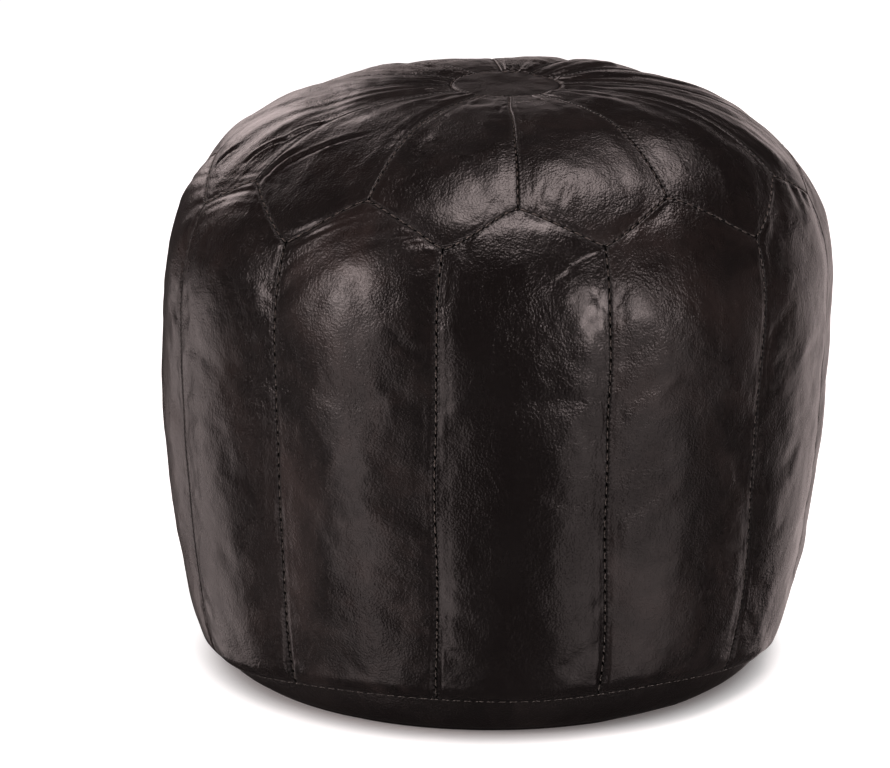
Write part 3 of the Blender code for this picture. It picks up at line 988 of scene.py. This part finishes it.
def leather_gore(name, cut, number, grid, weights, move, material):
    """Makes one gore from its grid, the stuffing's moves and the relief of its kind."""
    sewing = bpy.context.scene.pouf_sewing
    section = cut.section
    across, up, turned = grid
    angle, length, side, low, high = cut.lay(number, across, up)
    radius = section.radius(length)
    distance = np.minimum(np.minimum(side, low), high)
    relief = (petal_relief if cut.petal else panel_relief)(section, angle, length, side, low, high)
    even = section.point(angle, length)
    dents = 0.0011 * cloud(even, 0.055, 41) + 0.0005 * cloud(even, 0.021, 42)
    dents += 0.00018 * cloud(even, 0.008, 43)
    inside = smooth_step(distance, 0.0, 0.012)
    height = relief * smooth_step(distance, 0.0, 0.004) + dents * inside
    for mark in CREASES:
        height += crease(angle, length, radius, mark)
    height += 0.00015 * (1 - smooth_step(distance, sewing.allowance * 0.75, sewing.allowance * 1.2))
    height -= rolled_edge(distance, sewing.edge_radius)
    if cut.petal:
        height -= rolled_edge(high, 2 * sewing.edge_radius)
    height -= cut.TURNED * turned
    points = section.sewn(angle, length, height)
    across_weights, up_weights = weights
    points += np.einsum("ji,ikc,lk->jlc", up_weights, move, across_weights)
    bm = bmesh.new()
    bmesh.ops.create_grid(bm, x_segments=cut.columns, y_segments=cut.rows, size=1)
    mesh = mesh_of(name, bm)
    put_coordinates(mesh, settled(points.reshape(-1, 3)))
    nearest_side = side <= np.minimum(low, high)
    run = np.where(nearest_side, length, angle * radius)
    float_attribute(mesh, "seam_gap", distance.ravel())
    float_attribute(mesh, "seam_run", run.ravel())
    float_attribute(mesh, "tone", (PETAL_TONES if cut.petal else PANEL_TONES_WITH_SHADE)[number])
    offset = number * 0.37 + (5 if cut.petal else 0)
    flat = np.stack([(angle - cut.middle(number)) * radius + offset, length], axis=-1)
    hide_map(mesh, flat.reshape(-1, 2))
    piece = finished(name, mesh, material)
    return walled(piece, sewing.leather)


def leather_gores(kind, cut, coarse, moves, names, node, glosses):
    grid = cut.grid()
    columns, rows = coarse
    across = (grid[0][0] + 1) / 2
    up = grid[1][:, 0]
    weights = spread_weights(across, columns), spread_weights(up, rows)
    for number, mark in enumerate(names):
        name = f"{kind}_{mark}"
        material = goat_leather(glosses[number % len(glosses)])
        piece = leather_gore(name, cut, number, grid, weights, moves[number], material)
        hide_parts(f"{node}_{mark}")


# ---------------------------------------------------------------- stitches


def unit(vectors):
    return vectors / np.linalg.norm(vectors, axis=1, keepdims=True)


def copied(bm, count):
    """Doubles what the mesh holds until there are enough copies, then drops the surplus."""
    one = len(bm.verts)
    while len(bm.verts) < count * one:
        bmesh.ops.duplicate(bm, geom=bm.verts[:] + bm.edges[:] + bm.faces[:])
    bm.verts.ensure_lookup_table()
    bmesh.ops.delete(bm, geom=bm.verts[count * one :], context="VERTS")


def stitches(name, section, angle, length, slant, material, nodes=(), depth=0.35):
    """A row of stitches along arrays of angles and lengths, as deep as depth times the edge radius."""
    sewing = bpy.context.scene.pouf_sewing
    line = settled(section.sewn(angle, length, -depth * sewing.edge_radius))
    above = settled(section.sewn(angle, length, 0.01))
    steps = np.linalg.norm(np.diff(line, axis=0), axis=1)
    run = np.concatenate([[0], np.cumsum(steps)])
    count = int(run[-1] / sewing.stitch)
    spots = (np.arange(count) + 0.5) * run[-1] / count
    places = np.stack([np.interp(spots, run, line[:, axis]) for axis in range(3)], axis=1)
    ahead = np.stack([np.interp(spots + 0.001, run, line[:, axis]) for axis in range(3)], axis=1)
    behind = np.stack([np.interp(spots - 0.001, run, line[:, axis]) for axis in range(3)], axis=1)
    over = np.stack([np.interp(spots, run, above[:, axis]) for axis in range(3)], axis=1)
    along = unit(ahead - behind)
    up = over - places
    up = unit(up - (up * along).sum(axis=1, keepdims=True) * along)
    across = np.cross(up, along)
    slanted = math.cos(slant) * along + math.sin(slant) * across
    level = np.cross(slanted, up)
    bm = bmesh.new()
    bmesh.ops.create_uvsphere(bm, u_segments=6, v_segments=5, radius=1)
    one = len(bm.verts)
    copied(bm, count)
    mesh = mesh_of(name, bm)
    stitch = coordinates(mesh)[:one] * (sewing.stitch * 0.44, sewing.thread / 2, sewing.thread / 2)
    frames = np.stack([slanted, level, up], axis=1)
    put_coordinates(mesh, (np.einsum("vk,nkc->nvc", stitch, frames) + places[:, None]).reshape(-1, 3))
    return finished(name, mesh, material, nodes)


# ---------------------------------------------------------------- turned pieces


def spun(profile, steps):
    """Spins (radius, height) points round the axis into a closed sheet."""
    bm = bmesh.new()
    verts = [bm.verts.new((0, -radius, height)) for radius, height in profile]
    edges = [bm.edges.new(pair) for pair in zip(verts, verts[1:])]
    bmesh.ops.spin(
        bm,
        geom=verts + edges,
        cent=(0, 0, 0),
        axis=(0, 0, 1),
        angle=2 * math.pi,
        steps=steps,
        use_merge=True,
    )
    bmesh.ops.remove_doubles(bm, verts=bm.verts, dist=1e-5)
    bmesh.ops.recalc_face_normals(bm, faces=bm.faces)
    return bm


def face_upward(bm, upward=True):
    """Turns all faces over if the one nearest the axis looks the wrong way."""
    level = [face for face in bm.faces if abs(face.normal.z) > 0.9]
    central = min(level, key=lambda face: face.calc_center_median().xy.length)
    if (central.normal.z > 0) != upward:
        bmesh.ops.reverse_faces(bm, faces=bm.faces)


def lining_section(section, inset, floor, mouth):
    """The stuffed shape moved in by inset, flat at floor height, out to the radius of its mouth."""
    lengths = np.linspace(section.lengths[-1], section.length_at_height(floor * 2.2), 60)
    points = section.point(np.zeros_like(lengths), lengths, -inset)
    profile = [(max(-y, 0), z) for _, y, z in points]
    profile[0] = (0, profile[0][1])
    corner = section.floor_radius - inset
    return profile + [(radius, floor) for radius in np.linspace(corner, mouth, 16)]


def centre_disc(section):
    """The small round piece in the middle of the top, crowned and rolled down into its seam."""
    sewing = bpy.context.scene.pouf_sewing
    edge = section.disc_seam + Cut.GAP
    lengths = np.linspace(section.lengths[-1], edge, 26)
    to_seam = lengths - section.disc_seam
    profile = []
    for length, gap in zip(lengths, to_seam):
        crown = 0.0022 * math.cos(min(gap and (1 - gap / to_seam[0]), 1) * math.pi / 2)
        lift = crown - rolled_edge(gap, 2.2 * sewing.edge_radius)
        _, y, z = section.point(0.0, length, lift)
        profile.append((abs(y), z))
    profile[0] = (0, profile[0][1])
    profile.append((profile[-1][0], profile[-1][1] - Cut.TURNED))
    bm = spun(profile, 96)
    face_upward(bm)
    mesh = mesh_of("disc_leather", bm)
    points = coordinates(mesh)
    radius = np.hypot(points[:, 0], points[:, 1])
    angle = np.arctan2(points[:, 0], -points[:, 1])
    edge_radius = section.radius(edge)
    rim = smooth_step(radius, edge_radius * 0.35, edge_radius * 0.9)
    rim *= 1 - smooth_step(radius, edge_radius * 0.93, edge_radius)
    points[:, 2] += 0.0006 * rim * folds(angle, radius, 0.30, 0.05, 61)
    points[:, 2] += 0.0004 * cloud(points, 0.018, 62) * (1 - smooth_step(radius, 0, edge_radius))
    float_attribute(mesh, "seam_gap", np.clip(edge_radius - radius, 0, None) * 0.6)
    float_attribute(mesh, "seam_run", angle * edge_radius)
    float_attribute(mesh, "tone", 0.6)
    hide_map(mesh, points[:, :2] + 9)
    put_coordinates(mesh, settled(points))
    piece = finished("disc_leather", mesh, goat_leather(0.2), ["centre_disc"])
    walled(piece, sewing.leather)


def base_half(section, name, node, turn):
    """Half of the base: a flat underside, a foot that curves up to the seam, and half the zip's slot."""
    sewing = bpy.context.scene.pouf_sewing
    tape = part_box("zip_tape_front")
    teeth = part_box("zip_teeth_front")
    tape_end_hidden = 0.012
    slot_half = tape[1][0] - tape_end_hidden
    slot_width = 0.006
    profile = [(radius, 0.0) for radius in np.linspace(0, section.floor_radius, 40)]
    for length in np.linspace(0, section.base_seam - Cut.GAP, 22)[1:]:
        _, y, z = section.point(0.0, length, 0.0)
        profile.append((abs(y), z))
    bm = spun(profile, 168)
    face_upward(bm, upward=False)
    cuts = [((0, Cut.GAP, 0), (0, 1, 0), True), ((0, slot_width, 0), (0, 1, 0), False)]
    cuts += [((side * slot_half, 0, 0), (1, 0, 0), False) for side in (-1, 1)]
    for point, normal, clear in cuts:
        everything = bm.verts[:] + bm.edges[:] + bm.faces[:]
        bmesh.ops.bisect_plane(
            bm,
            geom=everything,
            dist=1e-6,
            plane_co=point,
            plane_no=normal,
            clear_inner=clear,
        )
    notch = []
    for face in bm.faces:
        middle = face.calc_center_median()
        if abs(middle.x) < slot_half and middle.y < slot_width:
            notch.append(face)
    bmesh.ops.delete(bm, geom=notch, context="FACES")
    border = [edge for edge in bm.edges if edge.is_boundary]
    turned = bmesh.ops.extrude_edge_only(bm, edges=border)["geom"]
    rim = section.point(0.0, section.base_seam - Cut.GAP, 0.0)[2] - 1e-4
    folded = [item for item in turned if isinstance(item, bmesh.types.BMVert)]
    for vert in folded:
        if vert.co.z > rim:
            vert.co.x *= 0.985
            vert.co.y *= 0.985
            vert.co.z += 0.0012
        elif vert.co.z > 0.001:
            vert.co.x *= 0.975
        else:
            vert.co.z += teeth[1][2] - 0.0005
    bmesh.ops.recalc_face_normals(bm, faces=bm.faces)
    face_upward(bm, upward=False)
    bm.transform(Matrix.Rotation(turn, 4, "Z"))
    mesh = mesh_of(name, bm)
    points = coordinates(mesh)
    radius = np.hypot(points[:, 0], points[:, 1])
    angle = np.arctan2(points[:, 0], -points[:, 1])
    from_slot = np.hypot(np.clip(np.abs(points[:, 0]) - slot_half, 0, None), np.abs(points[:, 1]))
    standing = smooth_step(points[:, 2], 0.002, 0.012)
    ripple = folds(angle * 0.18 / 0.013, points[:, 2], 1.0, 0.05, 71)
    points *= 1 + (0.0035 * standing * ripple)[:, None] * np.array([1, 1, 0])
    wall = (points[:, 2] > 0.0005) & (radius > section.floor_radius - 0.002)
    length = section.length_at_height(points[wall, 2])
    inward = np.clip(section.radius(length) - radius[wall] - 0.0004, 0, None)
    length = length * section.foot(angle[wall]) / section.base_seam
    tuck = FOOT_TUCK * smooth_step(length, 0, 0.006)
    points[wall] = section.point(angle[wall], length, -tuck - inward)
    dents = np.clip(cloud(points, 0.035, 72), 0, None) * 0.0009
    resting = 1 - smooth_step(points[:, 2], 0.0, 0.002)
    points[:, 2] += dents * resting * smooth_step(from_slot, 0.008, 0.02)
    rim_gap = np.clip(section.base_seam - section.length_at_height(0.0) - points[:, 2], 0, None)
    float_attribute(mesh, "seam_gap", np.minimum(rim_gap, np.abs(from_slot - slot_width) + 0.0006))
    float_attribute(mesh, "seam_run", points[:, 0])
    float_attribute(mesh, "tone", 0.45)
    hide_map(mesh, points[:, :2] + (12 if turn else 14))
    put_coordinates(mesh, settled(points))
    piece = finished(name, mesh, goat_leather(0.1), [node])
    walled(piece, sewing.leather)
    rounded = piece.modifiers.new("rounded_folds", "BEVEL")
    rounded.width = sewing.edge_radius * 0.5
    rounded.segments = 2
    rounded.limit_method = "ANGLE"
    rounded.angle_limit = math.radians(50)


def lining_bag(section):
    """A cotton bag inside the leather, puckered round its mouth underneath."""
    low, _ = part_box("lining_bag")
    wall = 0.001
    inset = 0.0078
    outside = lining_section(section, inset, low[2], 0.060)
    inside = lining_section(section, inset + wall, low[2] + wall, 0.060)
    bm = spun(outside + inside[::-1], 96)
    mesh = mesh_of("lining_cotton", bm)
    points = coordinates(mesh)
    angle = np.arctan2(points[:, 0], -points[:, 1])
    radius = np.hypot(points[:, 0], points[:, 1])
    mouth = np.exp(-np.clip(radius - 0.060, 0, None) / 0.02) * (points[:, 2] < low[2] + 0.004)
    points[:, 2] += 0.0016 * mouth * (1 + folds(angle, radius, 0.09, 0.2, 81)) / 2
    put_coordinates(mesh, settled(points))
    piece = finished("lining_cotton", mesh, cotton_lining(), ["lining_bag"])


def stuffing(section):
    """Lumpy packed cotton that fills the bag."""
    low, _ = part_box("stuffing")
    inset = 0.0105
    bm = spun(lining_section(section, inset, low[2] + 0.0005, 0.0), 120)
    mesh = mesh_of("stuffing_cotton", bm)
    points = coordinates(mesh)
    lumps = 0.5 + 0.5 * cloud(points, 0.030, 91)
    points[:, :2] *= (1 - 0.008 * lumps)[:, None]
    points[:, 2] -= 0.0015 * lumps * (points[:, 2] > 0.25)
    put_coordinates(mesh, settled(points))
    piece = finished("stuffing_cotton", mesh, cotton_stuffing(), ["stuffing"])


# ---------------------------------------------------------------- zip


def zip_coil(where):
    """One row of a nylon coil: a flattened helix sewn to its tape."""
    node = f"zip_teeth_{where}"
    low, high = (Vector(corner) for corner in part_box(node))
    side = 1 if where == "back" else -1
    outer = max(abs(low.y), abs(high.y))
    inner = 0.00062
    pitch = 0.0015
    filament = 0.00034
    turns = int((high.x - low.x - 0.001) / pitch)
    per_turn = 10
    curve = bpy.data.curves.new(node, "CURVE")
    curve.dimensions = "3D"
    curve.bevel_depth = filament
    curve.bevel_resolution = 1
    curve.use_fill_caps = True
    spline = curve.splines.new("POLY")
    spline.points.add(turns * per_turn)
    middle_y = (outer + inner) / 2
    middle_z = (low.z + high.z) / 2
    reach_y = (outer - inner) / 2 - filament
    reach_z = (high.z - low.z) / 2 - filament
    offset = 0 if side > 0 else math.pi
    for number, point in enumerate(spline.points):
        turn = 2 * math.pi * number / per_turn + offset
        x = low.x + 0.0005 + pitch * number / per_turn
        y = side * (middle_y + reach_y * math.cos(turn))
        point.co = (x, y, middle_z + reach_z * math.sin(turn), 1)
    holder = bpy.data.objects.new(node, curve)
    bpy.context.scene.collection.objects.link(holder)
    evaluated = holder.evaluated_get(bpy.context.evaluated_depsgraph_get())
    mesh = bpy.data.meshes.new_from_object(evaluated)
    bpy.data.objects.remove(holder)
    bm = bmesh.new()
    bm.from_mesh(mesh)
    bmesh.ops.remove_doubles(bm, verts=bm.verts, dist=1e-6)
    bmesh.ops.recalc_face_normals(bm, faces=bm.faces)
    finished(f"zip_coil_{where}", mesh_of(f"zip_coil_{where}", bm), nylon_coil(), [node])


def softened(name, node, width, material, body=BODY):
    """A copy of a CAD node with its sharp edges rounded."""
    bm = bmesh.new()
    bm.from_mesh(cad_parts[node].data)
    bmesh.ops.remove_doubles(bm, verts=bm.verts, dist=1e-6)
    bmesh.ops.dissolve_limit(
        bm, angle_limit=math.radians(1), verts=bm.verts, edges=bm.edges, use_dissolve_boundaries=False
    )
    sharp = [edge for edge in bm.edges if edge.is_manifold and edge.calc_face_angle(0) > 0.5]
    bmesh.ops.bevel(
        bm,
        geom=sharp,
        offset=width,
        offset_type="OFFSET",
        segments=2,
        profile=0.5,
        affect="EDGES",
        clamp_overlap=True,
        material=-1,
    )
    bmesh.ops.recalc_face_normals(bm, faces=bm.faces)
    mesh = mesh_of(name, bm)
    mesh.set_sharp_from_angle(angle=math.radians(50))
    return finished(name, mesh, material, [node], body)


def zip_tape(where):
    """A woven tape, gently rippled, under the edge of the slot."""
    node = f"zip_tape_{where}"
    low, high = (Vector(corner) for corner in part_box(node))
    bm = bmesh.new()
    bmesh.ops.create_cube(bm, size=1)
    bmesh.ops.scale(bm, vec=high - low, verts=bm.verts)
    bmesh.ops.translate(bm, vec=(high + low) / 2, verts=bm.verts)
    long = [edge for edge in bm.edges if abs((edge.verts[0].co - edge.verts[1].co).x) > 0.1]
    bmesh.ops.subdivide_edges(bm, edges=long, cuts=150, use_grid_fill=True)
    wide = [edge for edge in bm.edges if abs((edge.verts[0].co - edge.verts[1].co).y) > 0.01]
    bmesh.ops.subdivide_edges(bm, edges=wide, cuts=7, use_grid_fill=True)
    mesh = mesh_of(f"zip_tape_cloth_{where}", bm)
    mesh.set_sharp_from_angle(angle=math.radians(40))
    points = coordinates(mesh)
    loose = smooth_step(np.abs(points[:, 1]), 0.006, 0.013)
    points[:, 2] += 0.0005 * loose * (1 + cloud(points, 0.012, 95)) / 2
    put_coordinates(mesh, points)
    finished(f"zip_tape_cloth_{where}", mesh, zip_tape_cloth(), [node])


# ---------------------------------------------------------------- operators


class PoufOperator(bpy.types.Operator):
    bl_options = {"REGISTER", "UNDO"}


class POUF_OT_cover(PoufOperator):
    """Cuts, presses and sews in the twelve petals and twelve side panels"""

    bl_idname = "pouf.cover"
    bl_label = "Leather cover"

    def execute(self, context):
        section = Section(context.scene.pouf_shape)
        petals = petal_cut(section)
        panels = panel_cut(section)
        moves = pressed_moves([(petals, COARSE_PETAL), (panels, COARSE_PANEL)])
        petal_gloss = (0.45, 0.6, 0.35, 0.5)
        panel_gloss = (1.0, 0.6, 0.8, 0.5, 0.7, 0.55)
        petal_moves, panel_moves = moves[:GORES], moves[GORES:]
        leather_gores("petal_leather", petals, COARSE_PETAL, petal_moves, NUMBERS, "top_petal", petal_gloss)
        leather_gores("panel_leather", panels, COARSE_PANEL, panel_moves, NUMBERS, "side_panel", panel_gloss)
        return {"FINISHED"}


class POUF_OT_disc(PoufOperator):
    """Sets the small round disc into the middle of the top"""

    bl_idname = "pouf.disc"
    bl_label = "Centre disc"

    def execute(self, context):
        centre_disc(Section(context.scene.pouf_shape))
        return {"FINISHED"}


class POUF_OT_base(PoufOperator):
    """Makes the two half-moons of the base"""

    bl_idname = "pouf.base"
    bl_label = "Base"

    def execute(self, context):
        section = Section(context.scene.pouf_shape)
        base_half(section, "base_leather_back", "base_half_back", 0)
        base_half(section, "base_leather_front", "base_half_front", math.pi)
        return {"FINISHED"}


class POUF_OT_stitching(PoufOperator):
    """Sews every seam"""

    bl_idname = "pouf.stitching"
    bl_label = "Stitching"

    def execute(self, context):
        section = Section(context.scene.pouf_shape)
        thread = sewing_thread()
        slant = math.radians(24)
        round_angles = np.linspace(0, 2 * math.pi, 1441)
        ring = np.ones_like(round_angles)
        zigzag = section.zigzag(round_angles)
        node = ["zigzag_seam_thread"]
        stitches("zigzag_stitches", section, round_angles, zigzag, slant, thread, node, depth=-0.1)
        disc = ring * section.disc_seam
        stitches("disc_stitches", section, round_angles, disc, slant, thread, ["disc_seam_thread"])
        base = section.foot(round_angles)
        stitches("base_stitches", section, round_angles, base, slant, thread, ["base_seam_thread"])
        for number, mark in enumerate(NUMBERS):
            angle = HALF_GORE * (2 * number + 1)
            top = section.zigzag(angle) - 0.002
            rise = np.linspace(section.foot(angle) + 0.002, top, 300)
            nodes = [f"side_seam_thread_{mark}"]
            name = f"side_stitches_{mark}"
            stitches(name, section, np.full_like(rise, angle), rise, slant, thread, nodes)
            angle = HALF_GORE * 2 * number
            top = section.disc_seam - 0.002
            rise = np.linspace(section.zigzag(angle) + 0.002, top, 300)
            name = f"petal_stitches_{mark}"
            stitches(name, section, np.full_like(rise, angle), rise, slant, thread)
        return {"FINISHED"}


class POUF_OT_filling(PoufOperator):
    """Puts the cotton bag and its stuffing inside"""

    bl_idname = "pouf.filling"
    bl_label = "Lining and stuffing"

    def execute(self, context):
        section = Section(context.scene.pouf_shape)
        lining_bag(section)
        stuffing(section)
        return {"FINISHED"}


class POUF_OT_zip(PoufOperator):
    """Makes the zip under the base, with its slider and pull"""

    bl_idname = "pouf.zip"
    bl_label = "Zip"

    def execute(self, context):
        metal = nickel_plate()
        for where in ("front", "back"):
            zip_tape(where)
            zip_coil(where)
            stop = f"zip_top_stop_{where}"
            softened(f"top_stop_{where}", stop, 0.0003, metal)
        softened("bottom_stop", "zip_bottom_stop", 0.0003, metal)
        softened("slider_metal", "zip_slider", 0.00018, metal, "slider")
        softened("pull_metal", "zip_pull", 0.00018, metal, "pull")
        return {"FINISHED"}


class POUF_OT_stage(PoufOperator):
    """Lays the floor, and sets the lights and the camera"""

    bl_idname = "pouf.stage"
    bl_label = "Studio"

    def execute(self, context):
        studio_floor()
        studio_lights()
        studio_camera()
        return {"FINISHED"}


# ---------------------------------------------------------------- studio


def studio_floor():
    colours = bpy.context.scene.pouf_colours
    bm = bmesh.new()
    bmesh.ops.create_grid(bm, x_segments=4, y_segments=4, size=9)
    bmesh.ops.translate(bm, vec=(0, 0, -0.0004), verts=bm.verts)
    finish = Finish("studio_floor")
    paper = finish.noise(finish.place(), 40, 3, 0.5)
    colour = finish.blend(paper * 0.03, tuple(colours.floor), (0.80, 0.80, 0.80))
    # Painted contact shadow: the floor's glow is dimmed in a ring round the pouf's footprint.
    from_middle = finish.node("ShaderNodeVectorMath", {"operation": "LENGTH"}, [finish.place()])
    reach = Number(finish, from_middle.outputs["Value"])
    glow_with_painted_contact_shadow = finish.blend(reach.fade(0.153, 0.188), (0.08, 0.075, 0.075), (1, 1, 1))
    finish.surface(
        Base_Color=colour,
        Roughness=0.9,
        Specular_IOR_Level=0.1,
        Emission_Color=glow_with_painted_contact_shadow,
        Emission_Strength=0.92,
    )
    floor = bpy.data.objects.new("studio_floor", mesh_of("studio_floor", bm))
    floor.data.materials.append(finish.material)
    bpy.context.scene.collection.objects.link(floor)
    floor.visible_glossy = False
    floor.visible_shadow = False


WARM = (1.0, 0.83, 0.81)


def softbox(name, azimuth, elevation, distance, size, power, aim=(0, 0, 0.2)):
    """A rectangular light at an azimuth from the front, positive to the right, in degrees."""
    light = bpy.data.lights.new(name, "AREA")
    light.shape = "RECTANGLE"
    light.size = size[0]
    light.size_y = size[1]
    light.energy = power
    light.color = WARM
    lamp = bpy.data.objects.new(name, light)
    around, rise = math.radians(azimuth), math.radians(elevation)
    level = distance * math.cos(rise)
    place = Vector((level * math.sin(around), -level * math.cos(around), distance * math.sin(rise)))
    lamp.location = Vector(aim) + place
    lamp.rotation_euler = place.to_track_quat("Z", "Y").to_euler()
    bpy.context.scene.collection.objects.link(lamp)


def studio_lights():
    """Soft boxes, each by azimuth, elevation, distance, size and power, with low ones for bounced light."""
    softbox("overhead", 45, 76, 2.2, (2.1, 0.8), 37)
    softbox("left_window", -60, 17, 2.0, (0.50, 0.85), 13)
    softbox("right_window", 32, 11, 2.0, (0.52, 0.48), 7.2)
    softbox("left_bounce", -49, -22, 2.0, (0.80, 1.9), 6.4)
    softbox("right_bounce", 43, -22, 2.0, (0.95, 1.9), 4.5)
    softbox("left_rim", -126, -22, 2.0, (1.4, 1.1), 4.0)
    softbox("left_back", -157, 22, 2.0, (1.15, 0.75), 6.5)
    softbox("right_rim", 140, -12, 2.0, (1.9, 1.4), 6.2)
    softbox("back", 176, 7, 2.0, (2.2, 0.36), 1.8)
    world = bpy.data.worlds.new("studio")
    world.use_nodes = True
    back = world.node_tree.nodes["Background"]
    back.inputs["Color"].default_value = (*WARM, 1)
    back.inputs["Strength"].default_value = 0.03
    bpy.context.scene.world = world
    bpy.context.scene.view_settings.view_transform = "Standard"


def studio_camera():
    """A long lens 15 degrees above, a little to the left of the front."""
    camera = bpy.data.cameras.new("camera")
    camera.sensor_width = 36
    camera.lens = 147.8
    eye = bpy.data.objects.new("camera", camera)
    azimuth = math.radians(-4.55)
    elevation = math.radians(14.84)
    distance = 2.2
    right = Vector((math.cos(azimuth), math.sin(azimuth), 0))
    level = Vector((math.sin(azimuth), -math.cos(azimuth), 0))
    back = level * math.cos(elevation) + Vector((0, 0, math.sin(elevation)))
    aim = Vector((0, 0, 0.164)) - 0.0268 * right
    eye.location = aim + distance * back
    eye.rotation_euler = back.to_track_quat("Z", "Y").to_euler()
    bpy.context.scene.collection.objects.link(eye)
    bpy.context.scene.camera = eye


# ---------------------------------------------------------------- panel and run


STEPS = ("cover", "disc", "base", "stitching", "filling", "zip", "stage")


class POUF_PT_sidebar(bpy.types.Panel):
    """Lists the pouf's settings and steps"""

    bl_label = "Pouf"
    bl_idname = "POUF_PT_sidebar"
    bl_space_type = "VIEW_3D"
    bl_region_type = "UI"
    bl_category = "Pouf"

    def draw(self, context):
        layout = self.layout
        for group in settings():
            for name in group.bl_rna.properties.keys():
                if name not in ("rna_type", "name"):
                    layout.prop(group, name)
        for step in STEPS:
            layout.operator(f"pouf.{step}")


CLASSES = (
    PoufShape,
    PoufSewing,
    PoufColours,
    POUF_OT_cover,
    POUF_OT_disc,
    POUF_OT_base,
    POUF_OT_stitching,
    POUF_OT_filling,
    POUF_OT_zip,
    POUF_OT_stage,
    POUF_PT_sidebar,
)


def register():
    for item in CLASSES:
        bpy.utils.register_class(item)
    bpy.types.Scene.pouf_shape = bpy.props.PointerProperty(type=PoufShape)
    bpy.types.Scene.pouf_sewing = bpy.props.PointerProperty(type=PoufSewing)
    bpy.types.Scene.pouf_colours = bpy.props.PointerProperty(type=PoufColours)


def unregister():
    del bpy.types.Scene.pouf_shape
    del bpy.types.Scene.pouf_sewing
    del bpy.types.Scene.pouf_colours
    for item in reversed(CLASSES):
        bpy.utils.unregister_class(item)


def main():
    register()
    for step in STEPS:
        getattr(bpy.ops.pouf, step)()


if __name__ == "__main__":
    main()
